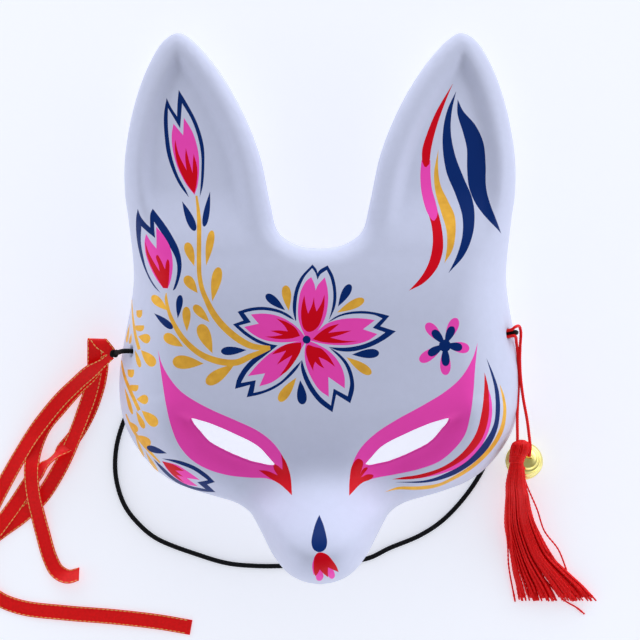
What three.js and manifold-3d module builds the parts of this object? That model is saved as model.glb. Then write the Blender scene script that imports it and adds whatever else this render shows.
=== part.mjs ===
// A moulded fox half mask lying face up, with its elastic, ribbon tails, cord, bell and tassel.
// Millimetres. +X is the mask's right as it is looked at, +Y runs to the ears and +Z to the viewer.
import * as THREE from "three";
import { mergeVertices } from "three/addons/utils/BufferGeometryUtils.js";
import Module from "manifold-3d";

// Shell
const WALL = 2;
const HALF_WIDTH = 92.4;
const HALF_LENGTH = 122.3;
const FOREHEAD_HEIGHT = 50;
const BRIDGE_HEIGHT = 30;
const SNOUT_HEIGHT = 75.5;
const SNOUT_CURVE = 0.023;
const CHEEK_CURVE = 0.0017;
const EAR_SLOPE = 0.186;
const EAR_DISH = 4;
const SOCKET_DEPTH = 3.6;
const MESH_STEP = 7;

// Temple holes, which are punched at slightly different places on the two sides
const HOLE_RADIUS = 2.8;
const HOLE_INSET = 7.8;
const HOLE_X = HALF_WIDTH - HOLE_INSET;
const HOLE_LEFT_Y = -21.9;
const HOLE_RIGHT_Y = -14.1;
const HOLE_SQUASH = 0.42;

// Cords and what hangs on them
const ELASTIC_DIAMETER = 2.3;
const KNOT_RADIUS = 2.2;
const RIBBON_WIDTH = 7;
const RIBBON_THICKNESS = 0.4;
const CORD_DIAMETER = 1.2;
const BELL_RADIUS = 8.6;
const BELL_WALL = 0.8;
const BELL_RIDGE = 1.03;
const BELL_SLOT = 1.8;
const TASSEL_HEAD_RADIUS = 4.2;
const RESTING = 0.05;

const wasm = await Module();
wasm.setup();

const material = (name, color, roughness, metalness) =>
  new THREE.MeshStandardMaterial({ name, color, roughness, metalness });
const paintedPlastic = material("painted plastic", 0xe4e4f2, 0.4, 0);
const blackElastic = material("black elastic", 0x0c0c0e, 0.8, 0);
const redSatin = material("red satin", 0xc8101a, 0.4, 0);
const redThread = material("red thread", 0xc00812, 0.6, 0);
const goldMetal = material("gold plated metal", 0xd9b84a, 0.25, 1);

// 0 at the first value, 1 at the second and smooth between, in either order.
function smoothstep(from, to, value) {
  const t = THREE.MathUtils.clamp((value - from) / (to - from), 0, 1);
  return t * t * (3 - 2 * t);
}

// The rim of the right half, from the dip between the ears round to the nose.
// Each row is x and y as shares of the half width and half length, the rim's height and the roll's width.
const rimRows = [
  [0, 0.192, 38, 8], [0.087, 0.199, 38, 8], [0.155, 0.222, 37, 8], [0.203, 0.257, 36.5, 8],
  [0.237, 0.353, 35, 8], [0.291, 0.537, 30, 7.5], [0.386, 0.714, 24, 7], [0.511, 0.872, 18, 6.5],
  [0.627, 0.972, 14.5, 6], [0.693, 1, 13.5, 6], [0.763, 0.973, 13.5, 6], [0.842, 0.875, 14.5, 6.5],
  [0.912, 0.721, 15.5, 7], [0.955, 0.54, 15, 8], [0.959, 0.409, 12.5, 11], [0.944, 0.3, 9, 15],
  [0.927, 0.141, 3.5, 22], [0.931, 0.065, 0, 26], [0.946, -0.02, 0, 29], [0.978, -0.145, 0, 31],
  [1, -0.262, 0, 31], [1, -0.352, 0, 30], [0.988, -0.406, 2.6, 28], [0.957, -0.474, 5.4, 26],
  [0.907, -0.54, 6.8, 22], [0.825, -0.614, 8, 18], [0.727, -0.666, 10, 14], [0.61, -0.697, 14, 11],
  [0.5, -0.718, 18, 9], [0.418, -0.733, 21.5, 8], [0.363, -0.752, 25, 8], [0.33, -0.772, 27.5, 9],
  [0.285, -0.827, 31.5, 12], [0.224, -0.906, 38, 14], [0.152, -0.964, 44, 15],
  [0.076, -0.991, 46.5, 16], [0, -1, 47, 16],
];

// The right eye opening, from its outer corner along the upper lid and back along the lower lid.
const eyeRows = [
  [57.2, -51.2], [51, -51.9], [42.6, -55], [36.7, -57.7], [29.6, -61.2], [25.9, -63.8], [22.4, -67.8],
  [19.6, -71.9], [29.4, -71.1], [36.3, -68.6], [42.6, -65.6], [48.6, -62.1], [53.5, -56.6],
];

// A fine closed polyline round the mask. Each vertex is [x, y, rim height, roll width].
function rimLoop(step) {
  const places = rimRows.map(([x, y, z]) => new THREE.Vector3(x * HALF_WIDTH, y * HALF_LENGTH, z));
  const path = new THREE.CatmullRomCurve3(places, false, "centripetal");
  const rolls = new THREE.CatmullRomCurve3(rimRows.map((row) => new THREE.Vector3(row[3], 0, 0)));
  const count = 2 * Math.round(path.getLength() / step / 2);
  const half = [];
  for (let i = 0; i <= count; i++) {
    const t = path.getUtoTmapping(i / count);
    const p = path.getPoint(t);
    half.push([p.x, p.y, Math.max(0, p.z), rolls.getPoint(t).x]);
  }
  half[0][0] = 0;
  half[count][0] = 0;
  const mirrored = half.slice(1, count).reverse().map(([x, ...rest]) => [-x, ...rest]);
  return [...half, ...mirrored];
}

const FINE = 3;
const fineRim = rimLoop(MESH_STEP / FINE);

// The nearest place on a closed polyline, with its values mixed along the segment.
function nearest(loop, x, y) {
  let best = null;
  for (let i = 0; i < loop.length; i++) {
    const a = loop[i];
    const b = loop[(i + 1) % loop.length];
    const [ux, uy] = [b[0] - a[0], b[1] - a[1]];
    const t = THREE.MathUtils.clamp(((x - a[0]) * ux + (y - a[1]) * uy) / (ux * ux + uy * uy), 0, 1);
    const distance = Math.hypot(x - a[0] - t * ux, y - a[1] - t * uy);
    if (!best || distance < best.distance) {
      best = { distance, values: a.map((value, k) => value + t * (b[k] - value)) };
    }
  }
  return best;
}

function inside(loop, x, y) {
  let odd = false;
  for (let i = 0; i < loop.length; i++) {
    const a = loop[i];
    const b = loop[(i + 1) % loop.length];
    if ((a[1] > y) !== (b[1] > y) && x < a[0] + ((y - a[1]) * (b[0] - a[0])) / (b[1] - a[1])) odd = !odd;
  }
  return odd;
}

const eyes = [1, -1].map((side) => {
  const curve = new THREE.CatmullRomCurve3(
    eyeRows.map(([x, y]) => new THREE.Vector3(side * x, y, 0)), true, "centripetal");
  return curve.getPoints(26).slice(0, -1).map((p) => [p.x, p.y]);
});

const templeHoles = [[HOLE_X, HOLE_RIGHT_Y], [-HOLE_X, HOLE_LEFT_Y]].map(([x, y]) =>
  Array.from({ length: 8 }, (_, i) => {
    const angle = (i * Math.PI) / 4;
    return [x + HOLE_RADIUS * HOLE_SQUASH * Math.cos(angle), y + HOLE_RADIUS * Math.sin(angle)];
  }));

// The snout's crest rises from the bridge of the nose to its tip.
function snoutHeight(x, y) {
  const rise = smoothstep(-58, -108, y);
  const crest = BRIDGE_HEIGHT + (SNOUT_HEIGHT - BRIDGE_HEIGHT) * rise;
  return crest - SNOUT_CURVE * x * x;
}

// The broad form of the face, before its edges roll back.
function broadHeight(x, y) {
  const up = y + 8;
  const earFall = up < 0 ? 0 : up < 28 ? 0.0045 * up * up : 3.5 + EAR_SLOPE * (up - 28);
  const down = Math.max(0, -45 - y);
  const cheekFall = 0.011 * down * down * (0.4 + 0.6 * smoothstep(8, 38, Math.abs(x)));
  const head = FOREHEAD_HEIGHT - CHEEK_CURVE * x * x - earFall - cheekFall;
  const snout = snoutHeight(x, y);
  const blend = 16;
  const difference = Math.max(0, blend - Math.abs(head - snout));
  return Math.max(head, snout) + (difference * difference) / (4 * blend);
}

function frontHeight(x, y) {
  const edge = nearest(fineRim, x, y);
  const [, , rim, roll] = edge.values;
  const d = edge.distance;
  const dish = EAR_DISH * smoothstep(5.5, 13, d) * smoothstep(22, 52, y);
  const eye = nearest(eyes[x >= 0 ? 0 : 1], x, y);
  const lowerLid = smoothstep(2, -3, y + 50.5 + 0.54 * (57.2 - Math.abs(x)));
  const socket = SOCKET_DEPTH * (0.3 + 0.7 * lowerLid) * Math.exp(-((eye.distance / 6) ** 2));
  const form = broadHeight(x, y) - dish - socket;
  if (d >= roll) return form;
  return rim + (form - rim) * Math.sqrt(1 - (1 - d / roll) ** 2);
}

// The outward direction of the front surface.
function frontNormal(x, y) {
  const probe = 0.05;
  const dx = (frontHeight(x + probe, y) - frontHeight(x - probe, y)) / (2 * probe);
  const dy = (frontHeight(x, y + probe) - frontHeight(x, y - probe)) / (2 * probe);
  return new THREE.Vector3(-dx, -dy, 1).normalize();
}

// Delaunay triangles of scattered points, by adding one point at a time.
function delaunay(points) {
  const far = 1e4;
  const all = [...points, [-far, -far], [far, -far], [0, far]];
  const circle = (a, b, c) => {
    const [[ax, ay], [bx, by], [cx, cy]] = [all[a], all[b], all[c]];
    const d = 2 * (ax * (by - cy) + bx * (cy - ay) + cx * (ay - by));
    const [a2, b2, c2] = [ax * ax + ay * ay, bx * bx + by * by, cx * cx + cy * cy];
    const ux = (a2 * (by - cy) + b2 * (cy - ay) + c2 * (ay - by)) / d;
    const uy = (a2 * (cx - bx) + b2 * (ax - cx) + c2 * (bx - ax)) / d;
    return { v: [a, b, c], ux, uy, r2: (ax - ux) ** 2 + (ay - uy) ** 2 };
  };
  const n = points.length;
  let triangles = [circle(n, n + 1, n + 2)];
  for (let i = 0; i < n; i++) {
    const [x, y] = all[i];
    const edges = new Map();
    const kept = [];
    for (const t of triangles) {
      if ((x - t.ux) ** 2 + (y - t.uy) ** 2 >= t.r2) {
        kept.push(t);
        continue;
      }
      for (let k = 0; k < 3; k++) {
        const [a, b] = [t.v[k], t.v[(k + 1) % 3]];
        const reverse = `${b},${a}`;
        if (edges.has(reverse)) edges.delete(reverse);
        else edges.set(`${a},${b}`, [a, b]);
      }
    }
    for (const [a, b] of edges.values()) kept.push(circle(a, b, i));
    triangles = kept;
  }
  return triangles.map((t) => t.v).filter((v) => v.every((index) => index < n));
}

// The shell: one sheet of triangles for the front, the same sheet set back by the wall, joined at every edge.
function shellGeometry() {
  const rim = fineRim.filter((_, i) => i % FINE === 0);
  const outward = rim.map((_, i) => {
    const a = rim[(i + rim.length - 1) % rim.length];
    const b = rim[(i + 1) % rim.length];
    return new THREE.Vector2(a[1] - b[1], b[0] - a[0]).normalize();
  });
  const points = rim.map(([x, y]) => [x, y]);
  for (const share of [0.1, 0.4, 1]) {
    rim.forEach(([x, y, , roll], i) => {
      if (share === 1 && roll > 10) return;
      points.push([x - outward[i].x * roll * share, y - outward[i].y * roll * share]);
    });
  }
  const openings = [...eyes, ...templeHoles];
  openings.forEach((loop) => loop.forEach((p) => points.push(p)));
  const rowStep = (MESH_STEP * Math.sqrt(3)) / 2;
  for (let row = 0, y = -HALF_LENGTH; y < HALF_LENGTH; row++, y += rowStep) {
    for (let x = -HALF_WIDTH - (row % 2) * MESH_STEP / 2; x < HALF_WIDTH; x += MESH_STEP) {
      if (!inside(fineRim, x, y)) continue;
      const edge = nearest(fineRim, x, y);
      const roll = edge.values[3];
      const lastRing = roll > 10 ? 0.4 * roll : roll;
      const clearOfOpenings = openings.every(
        (loop) => !inside(loop, x, y) && nearest(loop, x, y).distance > MESH_STEP * 0.4);
      if (edge.distance > lastRing + MESH_STEP * 0.5 && clearOfOpenings) points.push([x, y]);
    }
  }
  const triangles = delaunay(points).filter(([a, b, c]) => {
    const x = (points[a][0] + points[b][0] + points[c][0]) / 3;
    const y = (points[a][1] + points[b][1] + points[c][1]) / 3;
    return inside(rim, x, y) && openings.every((loop) => !inside(loop, x, y));
  });
  const front = [];
  const back = [];
  points.forEach(([x, y], i) => {
    const onRim = i < rim.length;
    const z = onRim ? rim[i][2] : frontHeight(x, y);
    const normal = onRim ? new THREE.Vector3(outward[i].x, outward[i].y, 0) : frontNormal(x, y);
    const place = new THREE.Vector3(x, y, z);
    front.push(place);
    back.push(place.clone().addScaledVector(normal, -WALL));
  });
  const faces = [];
  const edges = new Map();
  for (const [a, b, c] of triangles) {
    faces.push([a, b, c], [a + points.length, c + points.length, b + points.length]);
    for (const [p, q] of [[a, b], [b, c], [c, a]]) {
      if (edges.has(`${q},${p}`)) edges.delete(`${q},${p}`);
      else edges.set(`${p},${q}`, [p, q]);
    }
  }
  for (const [p, q] of edges.values()) {
    faces.push([q, p, p + points.length], [q, p + points.length, q + points.length]);
  }
  return meshGeometry([...front, ...back], faces);
}

function meshGeometry(vertices, faces) {
  const geometry = new THREE.BufferGeometry();
  const numbers = vertices.flatMap((v) => v.toArray());
  geometry.setAttribute("position", new THREE.Float32BufferAttribute(numbers, 3));
  geometry.setIndex(faces.flat());
  geometry.computeVertexNormals();
  return geometry;
}

// A solid that can be joined and cut, from a closed geometry.
function solidOf(source) {
  const bare = source.clone();
  bare.deleteAttribute("normal");
  bare.deleteAttribute("uv");
  const merged = mergeVertices(bare, 1e-4);
  const mesh = new wasm.Mesh({
    numProp: 3,
    vertProperties: new Float32Array(merged.attributes.position.array),
    triVerts: new Uint32Array(merged.index.array),
  });
  return new wasm.Manifold(mesh);
}

function geometryOf(solid) {
  const mesh = solid.getMesh();
  const geometry = new THREE.BufferGeometry();
  geometry.setAttribute("position", new THREE.Float32BufferAttribute(mesh.vertProperties, 3));
  geometry.setIndex(Array.from(mesh.triVerts));
  geometry.computeVertexNormals();
  return geometry;
}

// A smooth route through hand-picked points that never dips below the given height.
class LaidCurve extends THREE.CatmullRomCurve3 {
  constructor(rows, floor) {
    super(rows.map(([x, y, z]) => new THREE.Vector3(x, y, z)), false, "centripetal");
    this.floor = floor;
  }

  getPoint(t, target = new THREE.Vector3()) {
    const place = super.getPoint(t, target);
    place.z = Math.max(place.z, this.floor);
    return place;
  }
}

function roundCord(rows, diameter, steps) {
  const section = new THREE.Shape();
  for (let i = 0; i < 8; i++) {
    const angle = (i * Math.PI) / 4;
    const [x, y] = [Math.cos(angle) * diameter / 2, Math.sin(angle) * diameter / 2];
    if (i === 0) section.moveTo(x, y);
    else section.lineTo(x, y);
  }
  const extrudePath = new LaidCurve(rows, diameter / 2 + RESTING);
  return new THREE.ExtrudeGeometry(section, { steps, bevelEnabled: false, extrudePath });
}

// A flat ribbon along a route. The fourth number of each row rolls it about its own line, in degrees,
// and the fifth is its width as a share of the full one, for where it is gathered.
function ribbon(rows, steps) {
  const path = new LaidCurve(rows, RIBBON_THICKNESS / 2 + RESTING);
  const twists = new THREE.CatmullRomCurve3(
    rows.map((row) => new THREE.Vector3(row[3] ?? 0, row[4] ?? 1, 0)), false, "centripetal");
  const up = new THREE.Vector3(0, 0, 1);
  const vertices = [];
  const faces = [];
  for (let i = 0; i <= steps; i++) {
    const t = path.getUtoTmapping(i / steps);
    const along = path.getTangent(t);
    const twist = twists.getPoint(t);
    const across = new THREE.Vector3().crossVectors(up, along).normalize();
    across.applyAxisAngle(along, THREE.MathUtils.degToRad(twist.x));
    const thick = new THREE.Vector3().crossVectors(along, across).normalize();
    const centre = path.getPoint(t);
    for (const [u, v] of [[-1, -1], [1, -1], [1, 1], [-1, 1]]) {
      vertices.push(centre.clone().addScaledVector(across, u * twist.y * RIBBON_WIDTH / 2)
        .addScaledVector(thick, v * RIBBON_THICKNESS / 2));
    }
    if (i === 0) continue;
    const [b, a] = [4 * i, 4 * i - 4];
    for (let k = 0; k < 4; k++) {
      const next = (k + 1) % 4;
      faces.push([a + k, b + next, b + k], [a + k, a + next, b + next]);
    }
  }
  const last = 4 * steps;
  faces.push([0, 2, 1], [0, 3, 2], [last, last + 1, last + 2], [last, last + 2, last + 3]);
  return meshGeometry(vertices, faces);
}

// A place by a temple hole: so far out along its axis, so far along the rim and so far up the slope.
function byHole(x, y, out, along, up) {
  const axis = frontNormal(x, y);
  const upSlope = new THREE.Vector3(0, 1, 0).cross(axis).normalize().multiplyScalar(-Math.sign(x));
  const alongRim = new THREE.Vector3().crossVectors(axis, upSlope).normalize();
  if (alongRim.y < 0) alongRim.negate();
  return new THREE.Vector3(x, y, frontHeight(x, y)).addScaledVector(axis, out)
    .addScaledVector(alongRim, along).addScaledVector(upSlope, up).toArray();
}
const byLeftHole = (...steps) => byHole(-HOLE_X, HOLE_LEFT_Y, ...steps);
const byRightHole = (...steps) => byHole(HOLE_X, HOLE_RIGHT_Y, ...steps);

// The elastic: from its knot through the left hole, along the floor inside and below the snout, and out
// through the right hole.
const FLOOR = ELASTIC_DIAMETER / 2 + RESTING;
const knotPlace = new THREE.Vector3(-93.7, -23.3, 12);
const elasticRoute = [
  [-93.2, -23.2, 13.2], [-91.6, -22.8, 17], byLeftHole(3.4, -0.4, 0), byLeftHole(-1, 0, 0),
  byLeftHole(-4.6, 0, -0.8), [-79.2, -22.6, 12.5], [-79, -24, 7], [-79.8, -28, 2.8], [-81.5, -33, FLOOR],
  [-84.6, -41, FLOOR], [-87.8, -49, FLOOR], [-91.1, -56.5, FLOOR], [-93.7, -66.1, FLOOR],
  [-94.4, -75.8, FLOOR], [-93.2, -84.6, FLOOR], [-90, -93.4, FLOOR], [-84.7, -100.7, FLOOR],
  [-75.7, -108.4, FLOOR], [-55.4, -116.4, FLOOR], [-42.4, -120.1, FLOOR], [-29.5, -121.3, FLOOR],
  [-16.6, -121.3, FLOOR], [4, -120.3, FLOOR], [22.1, -117.8, FLOOR], [31.8, -113.2, FLOOR],
  [46.1, -107.2, FLOOR], [56.5, -100.3, FLOOR], [66.9, -89.2, FLOOR], [74.7, -77.2, FLOOR],
  [79, -66, FLOOR], [81.3, -52, FLOOR], [81.5, -38, FLOOR], [80, -26, FLOOR], [78.6, -19, 4],
  [78.4, -15.5, 9.5], byRightHole(-4.8, 0, -1.4), byRightHole(-1, 0, -0.7), byRightHole(2.6, 0.2, -0.7),
  byRightHole(4.6, 0.2, -2.4),
];

// The ribbon tails, from the knot out. Heights stack them where they cross.
const ribbonRoutes = [
  [
    [-96.5, -25, 11.4, 0, 0.35], [-99, -27.6, 10, 0, 0.6], [-104.7, -31.5, 7.8], [-110.9, -36.8, 6],
    [-119, -44.6, 4.8], [-126.4, -53.4, 4], [-132, -61, 3.5], [-137.6, -69.9, 3], [-143, -79, 1.1],
    [-148, -88, 0.3], [-152, -96, 0.3],
  ],
  [
    [-96.3, -21.4, 12, 0, 0.35], [-98.4, -19, 11.6, 0, 0.6], [-101.6, -17.8, 9.6, 30, 1],
    [-104, -20.5, 6.4, 20], [-104, -27, 4], [-104.6, -36, 2.4], [-107, -46, 1.5], [-110.6, -56, 1.2],
    [-116.6, -69.8, 1.2],
    [-121.4, -79, 1.3], [-128.4, -89.6, 0.3], [-137.4, -98.2, 0.3], [-147.6, -105.6, 0.3],
    [-154.6, -111.4, 0.3], [-158.4, -119, 0.3], [-156.6, -128, 0.3], [-148.6, -136, 0.3],
    [-138.2, -140.4, 0.3], [-117.6, -143, 0.3], [-95, -144.8, 0.3], [-74.3, -147.2, 0.3],
    [-59.4, -149.8, 0.3],
  ],
  [
    [-97, -23.6, 8.6, 0, 0.35], [-99.6, -27, 6.8, 0, 0.6], [-104.6, -32.4, 5], [-112, -39.4, 3.6],
    [-120, -48.4, 2.6], [-127, -57, 2.2], [-131.2, -67, 2.1], [-132.4, -77, 2.1], [-131.6, -88.7, 2.1],
    [-130, -97, 1.6], [-128, -105.4, 0.7], [-124.6, -117.4, 0.3], [-121.2, -123.6, 0.3], [-116, -125.8, 1.2],
    [-110.6, -124.4, 2.6],
  ],
  [
    [-96.6, -22, 7.4, 0, 0.35], [-98.6, -24.8, 4.6, 0, 0.6], [-101, -31, 1.4], [-103, -40, 0.3],
    [-106.6, -50, 0.3], [-112.4, -60.6, 0.3], [-119.6, -68.6, 0.3], [-127, -75.6, 0.4],
    [-134, -84, 1.1], [-140.4, -93, 1.2], [-146.6, -101.6, 1.1], [-151, -107.4, 1.1],
  ],
];

// The doubled red cord: from the tassel's head up through the hole, round behind it and back down.
const CORD_FLOOR = CORD_DIAMETER / 2 + RESTING;
const cordRoute = [
  [91.4, -64, 22.6], [92, -58.6, 18], [93, -53.6, 10], [93.6, -47, 3], [93.7, -38, CORD_FLOOR],
  [93.7, -29, CORD_FLOOR], [93.4, -22.4, 3.6], [92.4, -17.8, 10.4], [90.4, -16.2, 15.4],
  byRightHole(3, -1.5, 0.6), byRightHole(0.4, -1.4, 0.7), byRightHole(-2.6, -1.4, 0.7),
  byRightHole(-4.8, 0, 1.2), byRightHole(-2.6, 1.4, 0.7), byRightHole(0.4, 1.4, 0.7),
  byRightHole(2.2, 1.5, 0.7), byRightHole(4.2, 2.6, 0.4), [90.6, -11.2, 17.6], [92.6, -12.8, 12.4],
  [94.4, -17.4, 5.4], [95.2, -24, 1.4], [95.4, -33, CORD_FLOOR], [95.5, -42, 2.2], [96.2, -50, 7.6],
  [97, -57, 14.6], [96.9, -63, 21.4],
];

// The bell: a hollow ball with a slot below and two ridges, turned so that its slot shows.
const bellPlace = new THREE.Vector3(93.2, -72.3, BELL_RADIUS / BELL_RIDGE + RESTING);
function bellGeometry() {
  const turned = (radius) => {
    const profile = [];
    for (let i = 0; i <= 12; i++) {
      const angle = -Math.PI / 2 + (i * Math.PI) / 12;
      const ridge = Math.abs(i - 6) === 1 ? BELL_RIDGE : 1;
      profile.push(new THREE.Vector2(Math.abs(radius * ridge * Math.cos(angle)), radius * Math.sin(angle)));
    }
    return new THREE.LatheGeometry(profile, 16);
  };
  const body = solidOf(turned(BELL_RADIUS / BELL_RIDGE));
  const hollow = solidOf(turned(BELL_RADIUS / BELL_RIDGE - BELL_WALL));
  const slot = new THREE.BoxGeometry(BELL_RADIUS * 1.5, BELL_RADIUS, BELL_SLOT);
  slot.translate(0, -BELL_RADIUS, 0);
  return geometryOf(body.subtract(hollow).subtract(solidOf(slot)));
}

// The tassel: a bound head on the bell and a skirt of threads that falls to the floor and spreads.
function tasselGeometry() {
  const head = TASSEL_HEAD_RADIUS;
  const rows = [
    [92.4, -64.6, 22.4, 1.6, 1.6], [92.4, -65.6, 22.3, 3.4, 3.4], [92.2, -67.6, 22.2, head, head],
    [91.9, -70.8, 22, head, head], [91.6, -73, 21.8, 3, 3], [91.2, -75.6, 21.2, 3.4, 3.2],
    [90.8, -82, 18.2, 4.6, 3.4], [90.7, -88.5, 12.6, 5.3, 3.4], [91.3, -95.5, 7, 6.2, 3.2],
    [92.6, -104, 3.8, 7.4, 2.8], [96.6, -116.4, 2.8, 9.6, 2.6], [101.4, -124.4, 2.5, 13, 2.3],
    [105.2, -130.4, 2.3, 15.8, 2.1], [108.6, -137.6, 2.1, 18.2, 1.9],
  ];
  const sides = 12;
  const vertices = [];
  const faces = [];
  rows.forEach(([x, y, z, wide, high], i) => {
    for (let k = 0; k < sides; k++) {
      const angle = (2 * Math.PI * k) / sides;
      const height = Math.max(RESTING, z + high * Math.sin(angle));
      vertices.push(new THREE.Vector3(x + wide * Math.cos(angle), y, height));
      if (i === 0) continue;
      const [above, below] = [(i - 1) * sides, i * sides];
      const next = (k + 1) % sides;
      faces.push([above + k, below + next, below + k], [above + k, above + next, below + next]);
    }
  });
  const end = (rows.length - 1) * sides;
  for (let k = 1; k < sides - 1; k++) {
    faces.push([0, k + 1, k], [end, end + k, end + k + 1]);
  }
  return meshGeometry(vertices, faces);
}

function elasticGeometry() {
  const knot = new THREE.SphereGeometry(KNOT_RADIUS, 12, 8);
  knot.translate(knotPlace.x, knotPlace.y, knotPlace.z);
  return geometryOf(solidOf(roundCord(elasticRoute, ELASTIC_DIAMETER, 78)).add(solidOf(knot)));
}

const mask = new THREE.Group();
function add(name, geometry, look) {
  const mesh = new THREE.Mesh(geometry, look);
  mesh.name = name;
  mask.add(mesh);
  return mesh;
}

add("mask_shell", shellGeometry(), paintedPlastic);
add("elastic_cord", elasticGeometry(), blackElastic);
ribbonRoutes.forEach((rows, i) => add(`ribbon_tail_${i + 1}`, ribbon(rows, 3 * rows.length), redSatin));
add("tassel_cord", roundCord(cordRoute, CORD_DIAMETER, 60), redThread);
add("bell", bellGeometry(), goldMetal).position.copy(bellPlace);
add("tassel", tasselGeometry(), redThread);

export default mask;
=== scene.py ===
"""A moulded fox half mask lying face up on a pale floor, with its elastic, ribbons, bell and tassel.

Places are in millimetres until a mesh is made. +X is the mask's right as it is looked at, +Y runs to
the ears and +Z to the viewer.
"""
import math
import random

import bpy
import numpy as np
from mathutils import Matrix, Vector
from mathutils.geometry import delaunay_2d_cdt
from mathutils.kdtree import KDTree


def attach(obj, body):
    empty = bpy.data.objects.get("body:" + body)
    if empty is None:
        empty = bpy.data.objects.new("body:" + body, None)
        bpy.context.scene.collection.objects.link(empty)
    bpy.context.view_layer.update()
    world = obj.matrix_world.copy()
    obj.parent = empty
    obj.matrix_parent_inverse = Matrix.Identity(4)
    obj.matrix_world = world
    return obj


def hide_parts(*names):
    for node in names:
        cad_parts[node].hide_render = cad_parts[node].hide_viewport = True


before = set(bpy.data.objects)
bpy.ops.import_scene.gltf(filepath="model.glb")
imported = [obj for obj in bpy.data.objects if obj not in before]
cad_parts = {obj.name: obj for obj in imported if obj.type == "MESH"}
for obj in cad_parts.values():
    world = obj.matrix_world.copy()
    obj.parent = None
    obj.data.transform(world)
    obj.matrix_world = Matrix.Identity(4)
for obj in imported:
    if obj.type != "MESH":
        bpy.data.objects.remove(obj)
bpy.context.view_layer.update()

MM = 0.001

# Camera
CAMERA_Y = -8
CAMERA_HEIGHT = 800
FLOOR_SHOWN = 295.3

# Shell
WALL = 2
HALF_WIDTH = 92.4
HALF_LENGTH = 122.3
FOREHEAD_HEIGHT = 50
BRIDGE_HEIGHT = 30
SNOUT_HEIGHT = 75.5
SNOUT_CURVE = 0.023
SNOUT_RISE = (-58, -108)
SNOUT_BLEND = 16
CHEEK_CURVE = 0.0017
CHIN_Y = -45
CHIN_CURVE = 0.011
BROW_Y = -8
EAR_CURVE = 0.0045
EAR_BEND = 28
EAR_BEND_FALL = 3.5
EAR_SLOPE = 0.186
EAR_DISH = 4
EAR_DISH_EDGE = (7.5, 15)
EAR_DISH_RISE = (22, 52)
LID_CORNER_X = 57.2
LID_CORNER_Y = -50.5
LID_SLOPE = 0.54
SOCKET_DEPTH = 3.6
SOCKET_REACH = 6
UPPER_SOCKET_SHARE = 0.3
MIDDLE_CHEEK_SHARE = 0.4
RING_ANGLES = range(9, 55, 9)
RING_SLACK = 0.97
MAP_MARGIN = 8
RIM_STEP = 1.3
FILL_STEP = 1.7
PAINT_STEP = 0.9
DROP_FINENESS = 2.4
DROP_SHARPNESS = 1.2

# The rounded edge of the moulding: where its rows are from front to back, and how far it bulges
EDGE_SHARES = (0.12, 0.3, 0.5, 0.7, 0.88)
EDGE_BULGE = 0.45

# Temple holes
HOLE_RADIUS = 2.8
HOLE_X = HALF_WIDTH - 7.8
HOLE_LEFT_Y = -21.9
HOLE_RIGHT_Y = -14.1
HOLE_SQUASH = 0.42

# Cords and what hangs on them
ELASTIC_DIAMETER = 2.3
ELASTIC_STEP = 0.5
BRAID_TURN = 0.9
KNOT_SIZE = 0.43
KNOT_STRAND_RADIUS = 0.95
RIBBON_WIDTH = 7
RIBBON_THICKNESS = 0.4
RIBBON_STEP = 0.4
STITCH_RADII = (0.08, 0.2, 0.22, 0.2, 0.08)
STITCH_SIDES = 6
STITCH_FROM_MIDDLE = 0.86
STITCH_LIFT = 0.42
CORD_DIAMETER = 1.5
CORD_STEP = 0.35
CORD_PITCH = 3.2
CORD_GROOVES = 0.22
BELL_RADIUS = 8.6
BELL_WALL = 0.8
BELL_BODY_RADIUS = BELL_RADIUS - 0.26
BELL_SLOT = 1.8
BELL_SLOT_END_RADIUS = 1.5
BELL_SLOT_REACH = 0.62
BELL_LOOP_SUNK = 0.6
BELL_LOOP_RADIUS = 1.7
BELL_LOOP_HEIGHT = 2.2
BELL_LOOP_WIRE_RADIUS = 0.42
TASSEL_THREADS = 170
TASSEL_LOCKS = 30
TASSEL_GATHERED = 0.45
TASSEL_GATHERED_FROM = 14
TASSEL_FLOOR = 0.45
TASSEL_ROW_STEP = 1.6
THREAD_CROWDING = 0.48
THREAD_RADIUS = 0.38
THREAD_STEP = 1
THREAD_TWIST = 1.5
THREAD_GROOVES = 0.24
THREAD_FRAY = 1.25
NECK_HEIGHT = 19.3
NECK_TILT = 0.2
NECK_THREAD_RADIUS = 0.36
RESTING = 0.05

# Light
FLOOR_GLOW = 0.46
SKY_LOW = 1.75
SKY_HIGH = 0.38
SKY_FALL = 2.5
SKY_AHEAD = 3.0
SKY_AHEAD_TO = (0.4, 0.9, 0)

random.seed(4)


def add_camera():
    """Straight above the mask, as the photograph looks straight at its face."""
    lens = bpy.data.cameras.new("camera")
    lens.lens = lens.sensor_width * CAMERA_HEIGHT / FLOOR_SHOWN
    camera = bpy.data.objects.new("camera", lens)
    camera.location = (0, CAMERA_Y * MM, CAMERA_HEIGHT * MM)
    bpy.context.scene.collection.objects.link(camera)
    bpy.context.scene.camera = camera


def smoothstep(start, end, value):
    """0 at start, 1 at end and smooth between, in either order."""
    t = np.clip((value - start) / (end - start), 0, 1)
    return t * t * (3 - 2 * t)


def unit(rows):
    """The same directions, each at length 1."""
    return rows / np.linalg.norm(rows, axis=-1, keepdims=True)


def round_turn(count):
    """So many even angles round a circle."""
    return np.linspace(0, 2 * math.pi, count, endpoint=False)


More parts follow.
